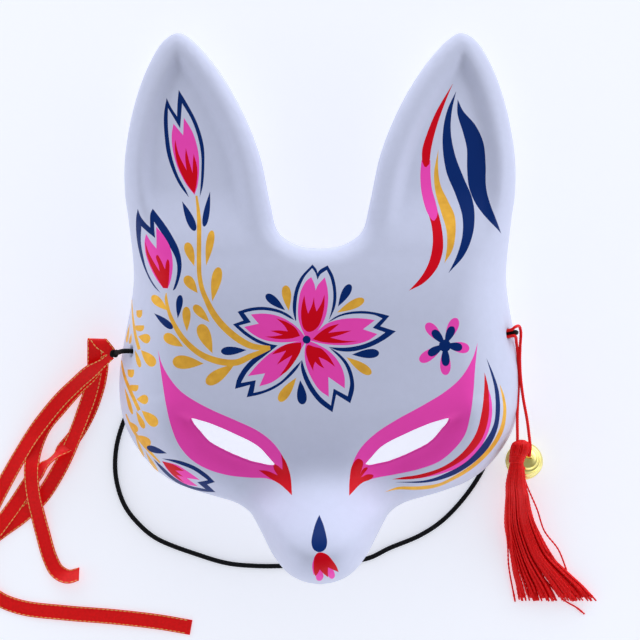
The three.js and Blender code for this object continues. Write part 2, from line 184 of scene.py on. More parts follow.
def smooth(points, steps, closed=False):
    """A smooth curve through the points, with so many steps from each to the next."""
    p = np.asarray(points, float)
    if closed:
        padded = np.vstack([p[-1:], p, p[:2]])
    else:
        padded = np.vstack([2 * p[0] - p[1], p, 2 * p[-1] - p[-2]])
    t = (np.arange(steps) / steps)[:, None]
    rows = []
    for p0, p1, p2, p3 in zip(padded, padded[1:], padded[2:], padded[3:]):
        gaps = [max(math.dist(a[:3], b[:3]) ** 0.5, 1e-3) for a, b in ((p0, p1), (p1, p2), (p2, p3))]
        d0, d1, d2 = gaps
        m1 = ((p1 - p0) / d0 - (p2 - p0) / (d0 + d1) + (p2 - p1) / d1) * d1
        m2 = ((p2 - p1) / d1 - (p3 - p1) / (d1 + d2) + (p3 - p2) / d2) * d1
        rows.append(p1 + m1 * t + (3 * (p2 - p1) - 2 * m1 - m2) * t ** 2
                    + (2 * (p1 - p2) + m1 + m2) * t ** 3)
    if not closed:
        rows.append(p[-1:])
    return np.vstack(rows)


def spaced(points, step, closed=False):
    """The same polyline with its points an even step apart."""
    if closed:
        points = np.vstack([points, points[:1]])
    far = np.concatenate([[0], np.cumsum(np.linalg.norm(np.diff(points[:, :3], axis=0), axis=1))])
    count = max(2, round(far[-1] / step))
    at = np.linspace(0, far[-1], count + 1)
    even = np.stack([np.interp(at, far, column) for column in points.T], axis=1)
    return even[:-1] if closed else even


# The rim of the right half, from the dip between the ears round to the nose.
# Each row is x and y as shares of the half width and half length, the rim's height and the roll's width.
RIM_ROWS = [
    (0, 0.192, 38, 8), (0.087, 0.199, 38, 8), (0.155, 0.222, 37, 8), (0.203, 0.257, 36.5, 8),
    (0.237, 0.353, 35, 8), (0.291, 0.537, 30, 7.5), (0.386, 0.714, 24, 7), (0.511, 0.872, 18, 6.5),
    (0.627, 0.972, 14.5, 6), (0.693, 1, 13.5, 6), (0.763, 0.973, 13.5, 6), (0.842, 0.875, 14.5, 6.5),
    (0.912, 0.721, 15.5, 7), (0.955, 0.54, 15, 8), (0.959, 0.409, 12.5, 11), (0.944, 0.3, 9, 15),
    (0.927, 0.141, 3.5, 22), (0.931, 0.065, 0, 26), (0.946, -0.02, 0, 29), (0.978, -0.145, 0, 31),
    (1, -0.262, 0, 31), (1, -0.352, 0, 30), (0.988, -0.406, 2.6, 28), (0.957, -0.474, 5.4, 26),
    (0.907, -0.54, 6.8, 22), (0.825, -0.614, 8, 18), (0.727, -0.666, 10, 14), (0.61, -0.697, 14, 11),
    (0.5, -0.718, 18, 9), (0.418, -0.733, 21.5, 8), (0.363, -0.752, 25, 8), (0.33, -0.772, 27.5, 9),
    (0.285, -0.827, 31.5, 12), (0.224, -0.906, 38, 14), (0.152, -0.964, 44, 15),
    (0.076, -0.991, 46.5, 16), (0, -1, 47, 16),
]

# The right eye opening, from its outer corner along the upper lid and back along the lower lid.
EYE_ROWS = [
    (57.2, -51.2), (51, -51.9), (42.6, -55), (36.7, -57.7), (29.6, -61.2), (25.9, -63.8), (22.4, -67.8),
    (19.6, -71.9), (29.4, -71.1), (36.3, -68.6), (42.6, -65.6), (48.6, -62.1), (53.5, -56.6),
]


def rim_loop():
    """The whole rim as rows of x, y, height and roll width."""
    half = smooth(np.array(RIM_ROWS) * (HALF_WIDTH, HALF_LENGTH, 1, 1), 40)
    half = spaced(half, RIM_STEP)
    half[:, 2] = np.maximum(half[:, 2], 0)
    half[[0, -1], 0] = 0
    return np.vstack([half, half[1:-1][::-1] * (-1, 1, 1, 1)])


RIM = rim_loop()
EYE = smooth(EYE_ROWS, 8, closed=True)


def nearest(loop, places):
    """For each place, its distance from a closed polyline and the polyline's values there."""
    after = np.roll(loop, -1, axis=0)
    along = (after - loop)[:, :2]
    squared = (along ** 2).sum(1)
    gaps, values = [], []
    for part in np.array_split(places, len(places) // 2000 + 1):
        offset = part[:, None] - loop[None, :, :2]
        t = np.clip((offset * along).sum(2) / squared, 0, 1)
        gap = np.linalg.norm(offset - t[..., None] * along, axis=2)
        best = gap.argmin(1)
        row = np.arange(len(part))
        gaps.append(gap[row, best])
        values.append(loop[best] + t[row, best, None] * (after[best] - loop[best]))
    return np.concatenate(gaps), np.vstack(values)


def inside(polygon, places):
    """Whether each place is inside a closed polygon."""
    x, y = places.T
    odd = np.zeros(len(places), bool)
    for (ax, ay), (bx, by) in zip(polygon[:, :2], np.roll(polygon, -1, axis=0)[:, :2]):
        if ay != by:
            odd ^= ((ay > y) != (by > y)) & (x < ax + (y - ay) * (bx - ax) / (by - ay))
    return odd


def broad_heights(x, y):
    """The broad form of the face and snout, before its edges roll back."""
    up = y - BROW_Y
    ear_fall = np.where(up < EAR_BEND, EAR_CURVE * np.maximum(up, 0) ** 2,
                        EAR_BEND_FALL + EAR_SLOPE * (up - EAR_BEND))
    down = np.maximum(0, CHIN_Y - y)
    side = smoothstep(8, 38, abs(x))
    cheek_fall = CHIN_CURVE * down ** 2 * (MIDDLE_CHEEK_SHARE + (1 - MIDDLE_CHEEK_SHARE) * side)
    head = FOREHEAD_HEIGHT - CHEEK_CURVE * x ** 2 - ear_fall - cheek_fall
    rise = smoothstep(*SNOUT_RISE, y)
    snout = BRIDGE_HEIGHT + (SNOUT_HEIGHT - BRIDGE_HEIGHT) * rise - SNOUT_CURVE * x ** 2
    difference = np.maximum(0, SNOUT_BLEND - abs(head - snout))
    return np.maximum(head, snout) + difference ** 2 / (4 * SNOUT_BLEND)


def front_heights(places):
    """The height of the mask's face at each place."""
    x, y = places.T
    gap, values = nearest(RIM, places)
    rim, roll = values[:, 2], values[:, 3]
    dish = EAR_DISH * smoothstep(*EAR_DISH_EDGE, gap) * smoothstep(*EAR_DISH_RISE, y)
    eye_gap, _ = nearest(EYE, np.stack([abs(x), y], axis=1))
    lower_lid = smoothstep(2, -3, y - LID_CORNER_Y + LID_SLOPE * (LID_CORNER_X - abs(x)))
    deep = UPPER_SOCKET_SHARE + (1 - UPPER_SOCKET_SHARE) * lower_lid
    socket = SOCKET_DEPTH * deep * np.exp(-((eye_gap / SOCKET_REACH) ** 2))
    form = broad_heights(x, y) - dish - socket
    inward = np.clip(gap / roll, 0, 1)
    return rim + (form - rim) * np.sqrt(1 - (1 - inward) ** 2)


def front_normal(x, y):
    """The outward direction of the face at one place."""
    probe = 0.3
    around = np.array([[x + probe, y], [x - probe, y], [x, y + probe], [x, y - probe]])
    east, west, north, south = front_heights(around)
    normal = np.array([west - east, south - north, 2 * probe])
    return unit(normal)


def make_object(name, places, faces, materials, choices=None, smooth_faces=True):
    """A mesh object from places in millimetres, with a material index for each face."""
    mesh = bpy.data.meshes.new(name)
    mesh.from_pydata((np.asarray(places, float) * MM).tolist(), [], [list(map(int, f)) for f in faces])
    for material in materials:
        mesh.materials.append(material)
    if choices is not None:
        mesh.polygons.foreach_set("material_index", np.asarray(choices, np.int32))
    mesh.polygons.foreach_set("use_smooth", np.full(len(mesh.polygons), smooth_faces))
    mesh.validate()
    mesh.update()
    made = bpy.data.objects.new(name, mesh)
    bpy.context.scene.collection.objects.link(made)
    return made


def place_piece(piece, slot, *nodes):
    """Hangs a finished piece on the frame in place of its nodes."""
    if nodes:
        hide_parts(*nodes)
    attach(piece, "root")


def principled(name, colour, roughness, metallic=0.0, **values):
    """A material with its main shader's plain values set, and that shader's node and tree."""
    material = bpy.data.materials.new(name)
    material.use_nodes = True
    tree = material.node_tree
    shader = tree.nodes["Principled BSDF"]
    shader.inputs["Base Color"].default_value = (*colour, 1)
    shader.inputs["Roughness"].default_value = roughness
    shader.inputs["Metallic"].default_value = metallic
    for socket, value in values.items():
        shader.inputs[socket.replace("_", " ")].default_value = value
    return material, tree, shader


def noise(tree, scale, detail=2.0):
    """A noise value over the object's own coordinates, in waves per metre."""
    place = tree.nodes.new("ShaderNodeTexCoord")
    texture = tree.nodes.new("ShaderNodeTexNoise")
    texture.inputs["Scale"].default_value = scale
    texture.inputs["Detail"].default_value = detail
    tree.links.new(place.outputs["Object"], texture.inputs["Vector"])
    return texture.outputs["Fac"]


def vary_colour(tree, shader, amount, low, high):
    """Mixes the base colour between two colours by a value from 0 to 1."""
    ramp = tree.nodes.new("ShaderNodeValToRGB")
    ramp.color_ramp.elements[0].position = 0.3
    ramp.color_ramp.elements[1].position = 0.7
    ramp.color_ramp.elements[0].color = (*low, 1)
    ramp.color_ramp.elements[1].color = (*high, 1)
    tree.links.new(amount, ramp.inputs["Fac"])
    tree.links.new(ramp.outputs["Color"], shader.inputs["Base Color"])


def vary_roughness(tree, shader, amount, low, high):
    """Maps a value from 0 to 1 onto a range of roughness."""
    spread = tree.nodes.new("ShaderNodeMapRange")
    spread.inputs["To Min"].default_value = low
    spread.inputs["To Max"].default_value = high
    tree.links.new(amount, spread.inputs["Value"])
    tree.links.new(spread.outputs["Result"], shader.inputs["Roughness"])


def bump(tree, shader, height, depth):
    """Roughens the surface by a height value, so many millimetres deep."""
    node = tree.nodes.new("ShaderNodeBump")
    node.inputs["Distance"].default_value = depth * MM
    tree.links.new(height, node.inputs["Height"])
    tree.links.new(node.outputs["Normal"], shader.inputs["Normal"])


def shade(colour, factor):
    """A colour made darker or lighter, up to full."""
    return tuple(min(1, channel * factor) for channel in colour)


def paint_material(name, colour, roughness=0.36, metallic=0.0, grain=0.012):
    """Satin paint on moulded plastic: slightly uneven in colour and gloss, with a faint orange peel."""
    material, tree, shader = principled(name, colour, roughness, metallic, Specular_IOR_Level=0.1)
    vary_colour(tree, shader, noise(tree, 260), shade(colour, 1 - grain), shade(colour, 1 + grain))
    vary_roughness(tree, shader, noise(tree, 70), roughness - 0.05, roughness + 0.07)
    bump(tree, shader, noise(tree, 900, detail=1), 0.012)
    return material


def plain_plastic():
    """The unpainted inside of the moulding."""
    colour = (0.74, 0.74, 0.78)
    material, tree, shader = principled("plain_plastic", colour, 0.5)
    vary_colour(tree, shader, noise(tree, 40), shade(colour, 0.95), shade(colour, 1.03))
    bump(tree, shader, noise(tree, 1400), 0.02)
    return material


def braid_material():
    """Black braided cover with a dull shine."""
    colour = (0.002, 0.002, 0.003)
    material, tree, shader = principled("black_braid", colour, 0.75, Specular_IOR_Level=0.15)
    vary_colour(tree, shader, noise(tree, 2500), colour, (0.007, 0.007, 0.009))
    bump(tree, shader, noise(tree, 5000), 0.05)
    return material


def satin_material():
    """Red satin with a fine, slightly uneven weave."""
    material, tree, shader = principled("red_satin", (1, 0, 0.001), 0.36, Specular_IOR_Level=0.3)
    vary_colour(tree, shader, noise(tree, 900), (0.88, 0, 0), (1, 0, 0.002))
    vary_roughness(tree, shader, noise(tree, 400), 0.36, 0.54)
    bump(tree, shader, noise(tree, 4200, detail=1), 0.04)
    return material


def gold_thread_material():
    """Metallic sewing thread, lighter and darker along its length."""
    material, tree, shader = principled("gold_thread", (1, 0.62, 0.12), 0.3, 0.5)
    vary_colour(tree, shader, noise(tree, 3000), (0.85, 0.4, 0.04), (1, 0.8, 0.3))
    return material


def thread_material():
    """Shiny red thread, a little uneven from strand to strand."""
    material, tree, shader = principled("red_thread", (1, 0, 0.001), 0.5, Specular_IOR_Level=0.3)
    vary_colour(tree, shader, noise(tree, 1200), (0.8, 0, 0), (1, 0, 0.002))
    bump(tree, shader, noise(tree, 6000), 0.04)
    return material


def bell_material():
    """Pale gold plating, a little clouded."""
    material, tree, shader = principled("gold_plating", (0.93, 0.8, 0.26), 0.12, 1.0)
    vary_colour(tree, shader, noise(tree, 300), (0.86, 0.72, 0.2), (0.97, 0.87, 0.34))
    vary_roughness(tree, shader, noise(tree, 500), 0.07, 0.2)
    return material


WHITE, PINK, RED, BLUE, GOLD, PLAIN = range(6)
painted = []


def paint(colour, shape):
    """Adds a painted area, over those before it."""
    painted.append((colour, shape))


def outline(*items):
    """A closed outline. A tuple is a corner, and a list holds the points of a curve to the next corner."""
    if len(items) == 1:
        return spaced(smooth(items[0], 12, closed=True), PAINT_STEP, closed=True)
    arcs, arc = [], [items[0]]
    for item in (*items[1:], items[0]):
        if isinstance(item, list):
            arc += item
        else:
            arcs.append(smooth([*arc, item], 12))
            arc = [item]
    return np.vstack([spaced(arc, PAINT_STEP)[:-1] for arc in arcs])


def stroke(points, widths):
    """A brush stroke along a curve, with a width at each point."""
    rows = smooth(np.column_stack([points, np.zeros(len(points)), widths]), 8)
    rows = spaced(rows, PAINT_STEP)
    along = unit(np.gradient(rows[:, :2], axis=0))
    across = np.stack([-along[:, 1], along[:, 0]], axis=1) * rows[:, 3:] / 2
    return np.vstack([rows[:, :2] + across, (rows[:, :2] - across)[::-1]])


def drop(tip, end, width):
    """A teardrop from its pointed tip to its round end."""
    tip, end = np.array(tip), np.array(end)
    length = np.linalg.norm(end - tip)
    count = max(12, round(DROP_FINENESS * length / PAINT_STEP))
    turn = round_turn(count)
    along = (end - tip) / length
    across = np.array([-along[1], along[0]])
    reach = (1 - np.cos(turn)) / 2
    breadth = np.sin(turn) * np.abs(np.sin(turn / 2)) ** DROP_SHARPNESS
    breadth /= np.abs(breadth).max()
    return tip + length * reach[:, None] * along + width / 2 * breadth[:, None] * across


def half_disc(centre, width, height):
    """A leaf with a flat top and a round lower side."""
    x, y = centre
    wide, high = width / 2, height / 2
    return outline(
        (x - wide, y + 0.9 * high), [(x, y + high)], (x + 0.96 * wide, y + high),
        [(x + wide, y), (x + 0.6 * wide, y - 0.86 * high), (x, y - high), (x - 0.7 * wide, y - 0.7 * high),
         (x - 0.96 * wide, y)])


def disc(centre, radius):
    """A round spot."""
    turn = round_turn(16)
    return np.array(centre) + radius * np.stack([np.cos(turn), np.sin(turn)], axis=1)


def paint_outlines(*rows):
    """Paints an outline for each row of its colour, corners and curves."""
    for colour, *items in rows:
        paint(colour, outline(*items))


def paint_drops(*rows):
    """Paints a teardrop for each row of colour, tip, end and width."""
    for colour, tip, end, width in rows:
        paint(colour, drop(tip, end, width))


# The big flower. Each petal is a blue line, a bare gap inside it, a pink petal and a red flame.
FLOWER_MIDDLE = (-5.8, -16.5)
FLOWER_LINES = [
    ((-10.7, -8.4), [(-11.8, -3.2), (-11, 4.3), (-8.5, 10.3)], (-3.3, 16.1), [(-1.5, 13.9)], (-1.1, 12.3),
     [(-0.1, 13.7)], (3.3, 15.7), [(5.7, 11.3), (7, 5.3), (6.7, -1.7)], (3.4, -9), FLOWER_MIDDLE),
    ((3.4, -9), [(7.4, -6.2), (12.4, -4.6), (18.8, -4.1), (24.8, -4.9)], (30.1, -6.2), (26.1, -10.7),
     (32.9, -12.9), [(27.8, -16.6), (21.3, -19.8), (13.9, -21.6), (7.9, -21.3)], (3.7, -19.7),
     FLOWER_MIDDLE),
    ((3.7, -19.7), [(7.9, -22.3), (11.9, -26.5), (14.1, -31.5), (14.8, -37.5)], (13.1, -44), (7, -40.2),
     (5.4, -47.9), [(-0.1, -43.9), (-4.5, -38.4), (-7.3, -32.5), (-8.3, -28)], (-7.9, -25.3),
     FLOWER_MIDDLE),
    ((-7.9, -25.3), [(-9.5, -28.5), (-13.5, -33), (-19.4, -37.5), (-25.9, -40.2)], (-31.8, -41.5),
     (-30.3, -36.1), (-36.9, -37.9), [(-35.9, -33.6), (-32.9, -28.6), (-28.4, -24.1)], (-21.4, -19.6),
     FLOWER_MIDDLE),
    ((-10.7, -8.4), FLOWER_MIDDLE, (-21.4, -19.6), [(-26.9, -17.9), (-32.4, -14.6), (-35.4, -12.1)],
     (-37.8, -9.9), (-33.2, -8.2), (-35.8, -4.4), [(-30.9, -2.9), (-24.9, -2.3), (-18.4, -3.4),
     (-13.5, -5.7)]),
]
FLOWER_GAPS = [
    ((-3.4, 14.5), [(-2, 12.5)], (-1.1, 9.5), [(0.2, 11.8)], (2.9, 13.7), [(4.5, 10.3), (5.7, 4.3),
     (5.4, -1.7)], (3.6, -9), FLOWER_MIDDLE, (-10.3, -8.3), [(-10.3, -3.2), (-9.5, 3.8), (-6.8, 10.5)]),
    ((3.6, -9), [(8.9, -6.4), (13.9, -5.4), (19.8, -5.3), (23.8, -5.9)], (27, -7.3), (22.8, -11.4),
     (28.3, -13.4), [(23.8, -16.4), (17.8, -18.8), (11.4, -19.9), (6.9, -19.9)], (3.8, -19.7),
     FLOWER_MIDDLE),
    ((3.8, -19.7), [(9.9, -26), (12.1, -30.5), (13, -35.5)], (12, -41), (5.9, -37.7), (4.7, -45),
     [(0.4, -41.4), (-3.5, -36), (-6.3, -30)], (-7.8, -25.3), FLOWER_MIDDLE),
    ((-28.8, -39.6), [(-23.4, -38.1), (-16.9, -34.5), (-11.5, -29)], (-7.8, -25.3), FLOWER_MIDDLE,
     (-18.3, -19), [(-23.4, -23.1), (-28.4, -27.1), (-31.9, -31.1)], (-34.3, -35.3), (-27.8, -34.1)),
    ((-35.2, -10.4), (-29.9, -9), (-33, -4.9), [(-28.4, -3.9), (-23.4, -3.8), (-17.4, -5), (-12.7, -7.4)],
     (-10.3, -8.3), FLOWER_MIDDLE, (-18.3, -19), [(-21.9, -18.3), (-26.9, -16.4), (-31.4, -13.6)]),
]
FLOWER_PETALS = [
    ((-3.8, 10.6), [(-2.4, 7.5)], (-1.9, 4.8), [(-1, 7)], (2.1, 10.5), [(3.3, 5.3), (3.5, -0.2),
     (2.2, -7.2), (-1.3, -13.1)], FLOWER_MIDDLE, [(-7.4, -13.1), (-9.2, -8.2), (-9.5, -3.2), (-8.4, 4.3),
     (-6, 8.8)]),
    ((23.8, -8.1), (18.6, -12), (24.9, -14.1), [(20.8, -16.9), (15.3, -18.5), (8.9, -18.9), (1.4, -18.3)],
     FLOWER_MIDDLE, [(-0.6, -12.4), (2.9, -9.6), (8.9, -7.7), (15.3, -7.2), (20.3, -7.5)]),
    ((10.7, -37.6), (3.6, -32.6), (3.8, -41.2), [(-0.1, -38.4), (-3.5, -33.5), (-6, -27.5),
     (-6.7, -22.1)], FLOWER_MIDDLE, [(0.4, -19.3), (4.9, -22.3), (8.9, -27.5), (10.6, -32.5)]),
    ((-26.3, -36.7), [(-20.9, -35), (-15.5, -31), (-11, -25.5), (-8.1, -20.6)], FLOWER_MIDDLE,
     [(-11, -17.6), (-15.5, -18.8), (-21.9, -22.6), (-26.9, -27.1)], (-31.3, -32.3), (-23.8, -31.1)),
    ((-32.9, -11), (-26.6, -9.6), (-30, -5.6), [(-24.4, -5.2), (-18.4, -6.2), (-12.5, -9.1),
     (-8.5, -12.6)], FLOWER_MIDDLE, [(-11, -17.4), (-18.4, -17.6), (-24.9, -16.4), (-29.9, -13.6)]),
]
FLOWER_FLAMES = [
    ((-6.8, 2.8), [(-5.9, -2.7)], (-5.1, -5.2), [(-3.5, -1.7)], (-2.6, 1.9), [(-2.2, -1.7)], (-1.5, -4.3),
     [(0.4, -1.2)], (2, 3), [(1.7, -3.2), (-1, -11.1), (-4.8, -13.2), (-7.1, -11.6), (-8.2, -6.2),
     (-7.8, -1.2)]),
    ((-3.2, -16.3), [(-0.1, -13.4), (3.9, -10.9)], (8.4, -9.6), [(5.7, -11.9)], (3.5, -13.6),
     [(8.9, -12.9)], (13.7, -12.6), [(8.9, -14.4)], (4.4, -15.6), [(10.9, -17)], (16.8, -17.1),
     [(8.9, -18), (1.4, -17.6)]),
    ((6.6, -28.3), [(2.7, -25.5)], (-0.6, -24), [(0.7, -27)], (1.9, -29), [(-0.3, -27.8)], (-2.1, -26.1),
     [(-2.8, -28)], (-2.9, -30.1), [(-5.3, -25), (-6.1, -21.1), (-5.3, -18.8), (-2.5, -19.6),
     (0.4, -20.3), (3.9, -23.8)]),
    ((-20.9, -22.9), [(-17.4, -22.1)], (-14.6, -21.2), [(-16.7, -24.3)], (-18.6, -27.3), [(-15, -25)],
     (-12, -23.2), [(-14.5, -28)], (-17.5, -32.2), [(-14.5, -30.3), (-11, -26), (-8.4, -21.3)],
     (-8.1, -17.7), [(-13.5, -18.3), (-17.9, -20.3)]),
    ((-18.9, -7.3), [(-15.5, -10.4)], (-13.9, -12.9), [(-17.9, -12.5)], (-21.5, -12.7), [(-18.4, -13.7)],
     (-16.1, -14.4), [(-19.9, -15)], (-23.8, -15.2), [(-18.4, -16.2), (-12.5, -16)], (-8.6, -14.9),
     [(-10.5, -11.6), (-14, -9.1)]),
]


def paint_big_flower():
    """Its petals, its middle and the drops between them."""
    for colour, shapes in ((BLUE, FLOWER_LINES), (WHITE, FLOWER_GAPS), (PINK, FLOWER_PETALS),
                           (RED, FLOWER_FLAMES)):
        for items in shapes:
            paint(colour, outline(*items))
    paint(BLUE, disc(FLOWER_MIDDLE, 1.75))
    paint_drops(
        (BLUE, (-15.1, -3.8), (-23.4, 3), 3.7), (GOLD, (-13.5, -4.1), (-15, 7), 4),
        (BLUE, (7.8, -2.2), (13.2, 7.4), 3.7), (GOLD, (7.3, -4.8), (19.1, 1), 3.9),
        (BLUE, (13.8, -23), (25.6, -22.3), 4), (GOLD, (11.4, -24.1), (22.2, -31.3), 4),
        (BLUE, (-8.6, -34), (-7.5, -44.5), 4.2), (GOLD, (-10.2, -32.9), (-17.7, -43.2), 4.2),
        (BLUE, (-31.8, -21), (-43, -21.6), 3.7))


def paint_small_flower():
    """Five blue lobes on longer pink ones."""
    centre = (54.4, -18.7)
    for colour, width, ends in (
            (PINK, 4.7, ((59.6, -7.2), (65.3, -20.7), (54.7, -32), (43.3, -25.9), (46.2, -9.5))),
            (BLUE, 3.7, ((58, -10.8), (62.1, -20.2), (54.8, -28.1), (47, -23.1), (49, -12.5)))):
        for end in ends:
            paint(colour, drop(centre, end, width))
    paint(BLUE, disc((54.4, -19.2), 2.7))


def paint_stems():
    """The two gold stems that curl up from the big flower, with their leaves."""
    paint(GOLD, stroke(
        [(-54.7, 47), (-53.9, 41.9), (-53.2, 35.2), (-53, 26.2), (-52.9, 17.4), (-52.6, 11.5),
         (-51.4, 5.6), (-49.5, 0.9), (-45.5, -6.5), (-39.4, -13.2), (-32.6, -18), (-28.4, -19.6),
         (-21.6, -20)],
        [0.9, 1.4, 1.9, 2, 2, 2, 2.1, 2.3, 2.9, 3, 2.9, 2.6, 1.6]))
    paint(GOLD, stroke(
        [(-67.4, 3.9), (-67.5, 1.5), (-66.1, -4.6), (-62.9, -11.4), (-58.5, -17.5), (-51.7, -23),
         (-43.7, -26), (-36.3, -26.4), (-30.2, -23.8), (-21.6, -20.2)],
        [0.3, 1.3, 1.6, 2.1, 2.4, 2.6, 2.9, 2.8, 2.5, 1.4]))
    paint_drops(
        (GOLD, (-49.7, 15.6), (-47.3, 31.3), 3.5), (GOLD, (-54.9, 15.5), (-58.5, 26), 4),
        (GOLD, (-53.3, 3.7), (-58.9, 11.1), 4.4), (GOLD, (-46.9, 0), (-44.1, 15), 4.5),
        (BLUE, (-61.1, 44.7), (-54.9, 31.2), 3.5), (BLUE, (-48.6, 48.9), (-50.9, 33), 2.8),
        (BLUE, (-62.1, -7.3), (-61, 2.9), 3), (GOLD, (-58, -13.1), (-58.3, -2.2), 3.7),
        (GOLD, (-48, -9), (-55, -1.6), 3.8), (GOLD, (-46.7, -22.6), (-52.3, -9.9), 5.6),
        (BLUE, (-73.2, -5), (-64.4, -11.7), 3.1), (GOLD, (-59.6, -19.7), (-68.4, -14.6), 4.6),
        (GOLD, (-50.6, -27), (-64.4, -26.1), 5.9), (GOLD, (-36.9, -27.1), (-49.5, -35.6), 5.4),
        (GOLD, (-66.6, -3.9), (-74.4, 2.6), 3.9))


def paint_buds():
    """Three pink buds, two in the left ear and one low on the left cheek."""
    paint_outlines(
        (BLUE, (-68.9, 91.7), [(-70, 84.2), (-69.6, 74.9), (-68.1, 65.5), (-65.2, 57.4), (-62.2, 51.6)],
         (-58.1, 46.3), [(-59, 48.6), (-63.1, 56.2), (-65.9, 64.3), (-67.6, 73.7), (-68.2, 81.3)],
         (-68.2, 87.1), (-62.5, 77.6), (-61.8, 89.1), [(-57.4, 81.6), (-54.4, 73.4), (-52.8, 65.2),
         (-52.7, 57.2)], (-53.2, 46.3), [(-51.9, 51.4), (-51.3, 61.2), (-51.8, 69.8), (-54.8, 79.8),
         (-59, 88)], (-63.4, 95.3), [(-63.9, 89.3)], (-64, 83.1), [(-66.8, 87.4)]),
        (PINK, (-65.6, 79.9), (-61.1, 74.5), (-60.9, 82.5), [(-56.8, 75.7), (-54.2, 67), (-53.6, 59.5),
         (-54.2, 52)], (-55.5, 47.4), [(-59.3, 52.1), (-63.5, 60.2), (-65.8, 68.4), (-66.3, 74.8)]),
        (RED, (-64.7, 72.7), [(-63, 66)], (-59.3, 58.5), [(-60, 64.2)], (-59.8, 68.7), [(-58.3, 63)],
         (-56.6, 57.4), [(-56.5, 62.4)], (-56.2, 65.9), [(-54.5, 59.5), (-54.6, 53.2)], (-55.6, 47.8),
         [(-59.3, 52.7), (-63.2, 60.8), (-64.8, 68.4)]),
        (BLUE, (-81.1, 41.5), [(-82, 37.9), (-82.2, 31.1), (-81.2, 23.9), (-78.8, 16.4), (-75.4, 9.7),
         (-72.7, 6.1)], (-70.1, 3.9), [(-73.4, 7.9), (-76.8, 13.9), (-78.8, 20.8), (-79.8, 26.8)],
         (-79.4, 33.7), [(-76.6, 31.2)], (-72.8, 28.2), [(-73.2, 31.9)], (-73.4, 35.5), [(-69.4, 29.7),
         (-66.3, 24.6), (-63.5, 19.5), (-62.5, 15.1), (-62.9, 10.1)], (-64.4, 4.9), [(-63.4, 5.4),
         (-61.7, 9.2), (-60.6, 14.5), (-60.8, 18.6), (-62.2, 23.6), (-64.9, 28.7), (-68.3, 33.9)],
         (-74.2, 41.4), [(-75.2, 39.1)], (-75.2, 33), [(-77.6, 35.3), (-79.8, 38.2)]),
        (PINK, (-77.1, 30.2), [(-75, 26.9)], (-72.1, 23.5), [(-72.2, 28.2)], (-72.4, 33.3),
         [(-69.1, 29.4), (-66, 24.3), (-64.7, 18.9), (-64.6, 13.9), (-65.5, 8.9)], (-66.7, 5.8),
         (-68.9, 6), [(-71.8, 9.6), (-75.4, 15.9), (-77.4, 21.3), (-77.9, 26.7)]),
        (RED, (-77.6, 26.7), [(-76, 22.2), (-73.4, 17.6)], (-70.6, 13.4), [(-71.1, 16.1), (-72.4, 20),
         (-71.7, 20.8), (-70.2, 18.7)], (-68, 14.2), [(-67.7, 16.9), (-66.8, 18.9), (-66.1, 17.2),
         (-66, 13.9), (-66.4, 7.7)], (-66.8, 5.9), (-68.9, 6.1), [(-71.8, 10.5), (-75, 16.2),
         (-77, 21.6)]),
        (BLUE, (-74.6, -69.9), [(-71.3, -75), (-65.8, -80.5), (-59.3, -83.8), (-52.7, -85)],
         (-46.7, -84.9), (-50.1, -81), (-46.5, -79.7), [(-49.9, -76.1), (-55.4, -72.3), (-62.6, -69.8)],
         (-70.2, -69.4), [(-63.3, -71.2), (-56.1, -74), (-52.5, -76.5)], (-49.6, -78.9), (-54.6, -80.1),
         (-51.2, -83.5), [(-58.9, -82.1), (-64.8, -78.8), (-70.4, -73.5)]),
        (PINK, (-70.2, -70.7), [(-63.3, -72), (-58.1, -75.2)], (-53.2, -78.9), (-59.2, -78.3),
         (-54.5, -82.3), [(-60.2, -81.6), (-65.3, -78.1), (-68.5, -74.1)]),
        (RED, (-70.2, -70.8), [(-65.1, -71.8)], (-60, -74.8), (-64.1, -74.8), (-60.9, -77.7), (-64, -77),
         (-60.7, -80.9), [(-65.3, -77.8), (-68.2, -74.1)]))


def paint_vine():
    """The gold vine along the left cheek, two stems with short leaves, and one blue leaf."""
    paint(GOLD, stroke([(-85.7, 1.3), (-84.3, -7), (-82.6, -14.6), (-80.4, -21.1)], [0.5, 1.1, 1.5, 1.7]))
    paint(GOLD, stroke(
        [(-90.5, -26.5), (-87.9, -33.6), (-84.4, -40.3), (-80.1, -48)],
        [1.1, 1.6, 1.8, 1.8]))
    paint(GOLD, stroke(
        [(-87.3, -50.3), (-84.8, -55.5), (-81.5, -60.4), (-77.3, -65.3), (-71.3, -71.6)],
        [0.8, 1.4, 1.6, 1.6, 0.9]))
    for centre, width, height in (
            ((-80.8, -5.3), 3.3, 3.5), ((-80.4, -11.7), 4.7, 2.7), ((-84.6, -31.9), 3.6, 3.6),
            ((-82.7, -38.3), 4.4, 2.9)):
        paint(GOLD, half_disc(centre, width, height))
    paint_drops(
        (GOLD, (-81.1, -15.3), (-74.9, -16.7), 4.2), (GOLD, (-79.6, -21.3), (-72.5, -27.9), 4.8),
        (GOLD, (-82.6, -21.3), (-79.7, -29), 2.2), (GOLD, (-86.2, -9.6), (-87.5, -18.2), 1.6),
        (GOLD, (-84.8, -14), (-85.6, -18.8), 1.5), (GOLD, (-81.5, -43.2), (-75.6, -43), 4.2),
        (GOLD, (-78.9, -48), (-71.4, -54.2), 5), (GOLD, (-88.1, -38), (-83.6, -50.1), 2),
        (GOLD, (-81.7, -48.4), (-77.8, -56), 2.8), (GOLD, (-86.1, -53.4), (-81.3, -57.7), 3.4),
        (GOLD, (-82.3, -59.5), (-75.1, -63.2), 4.4), (GOLD, (-82.8, -59.2), (-79.7, -70.1), 1.8),
        (GOLD, (-78.3, -66.6), (-73.5, -76.9), 2.2), (BLUE, (-67.5, -66.8), (-77.2, -64.7), 3.2))


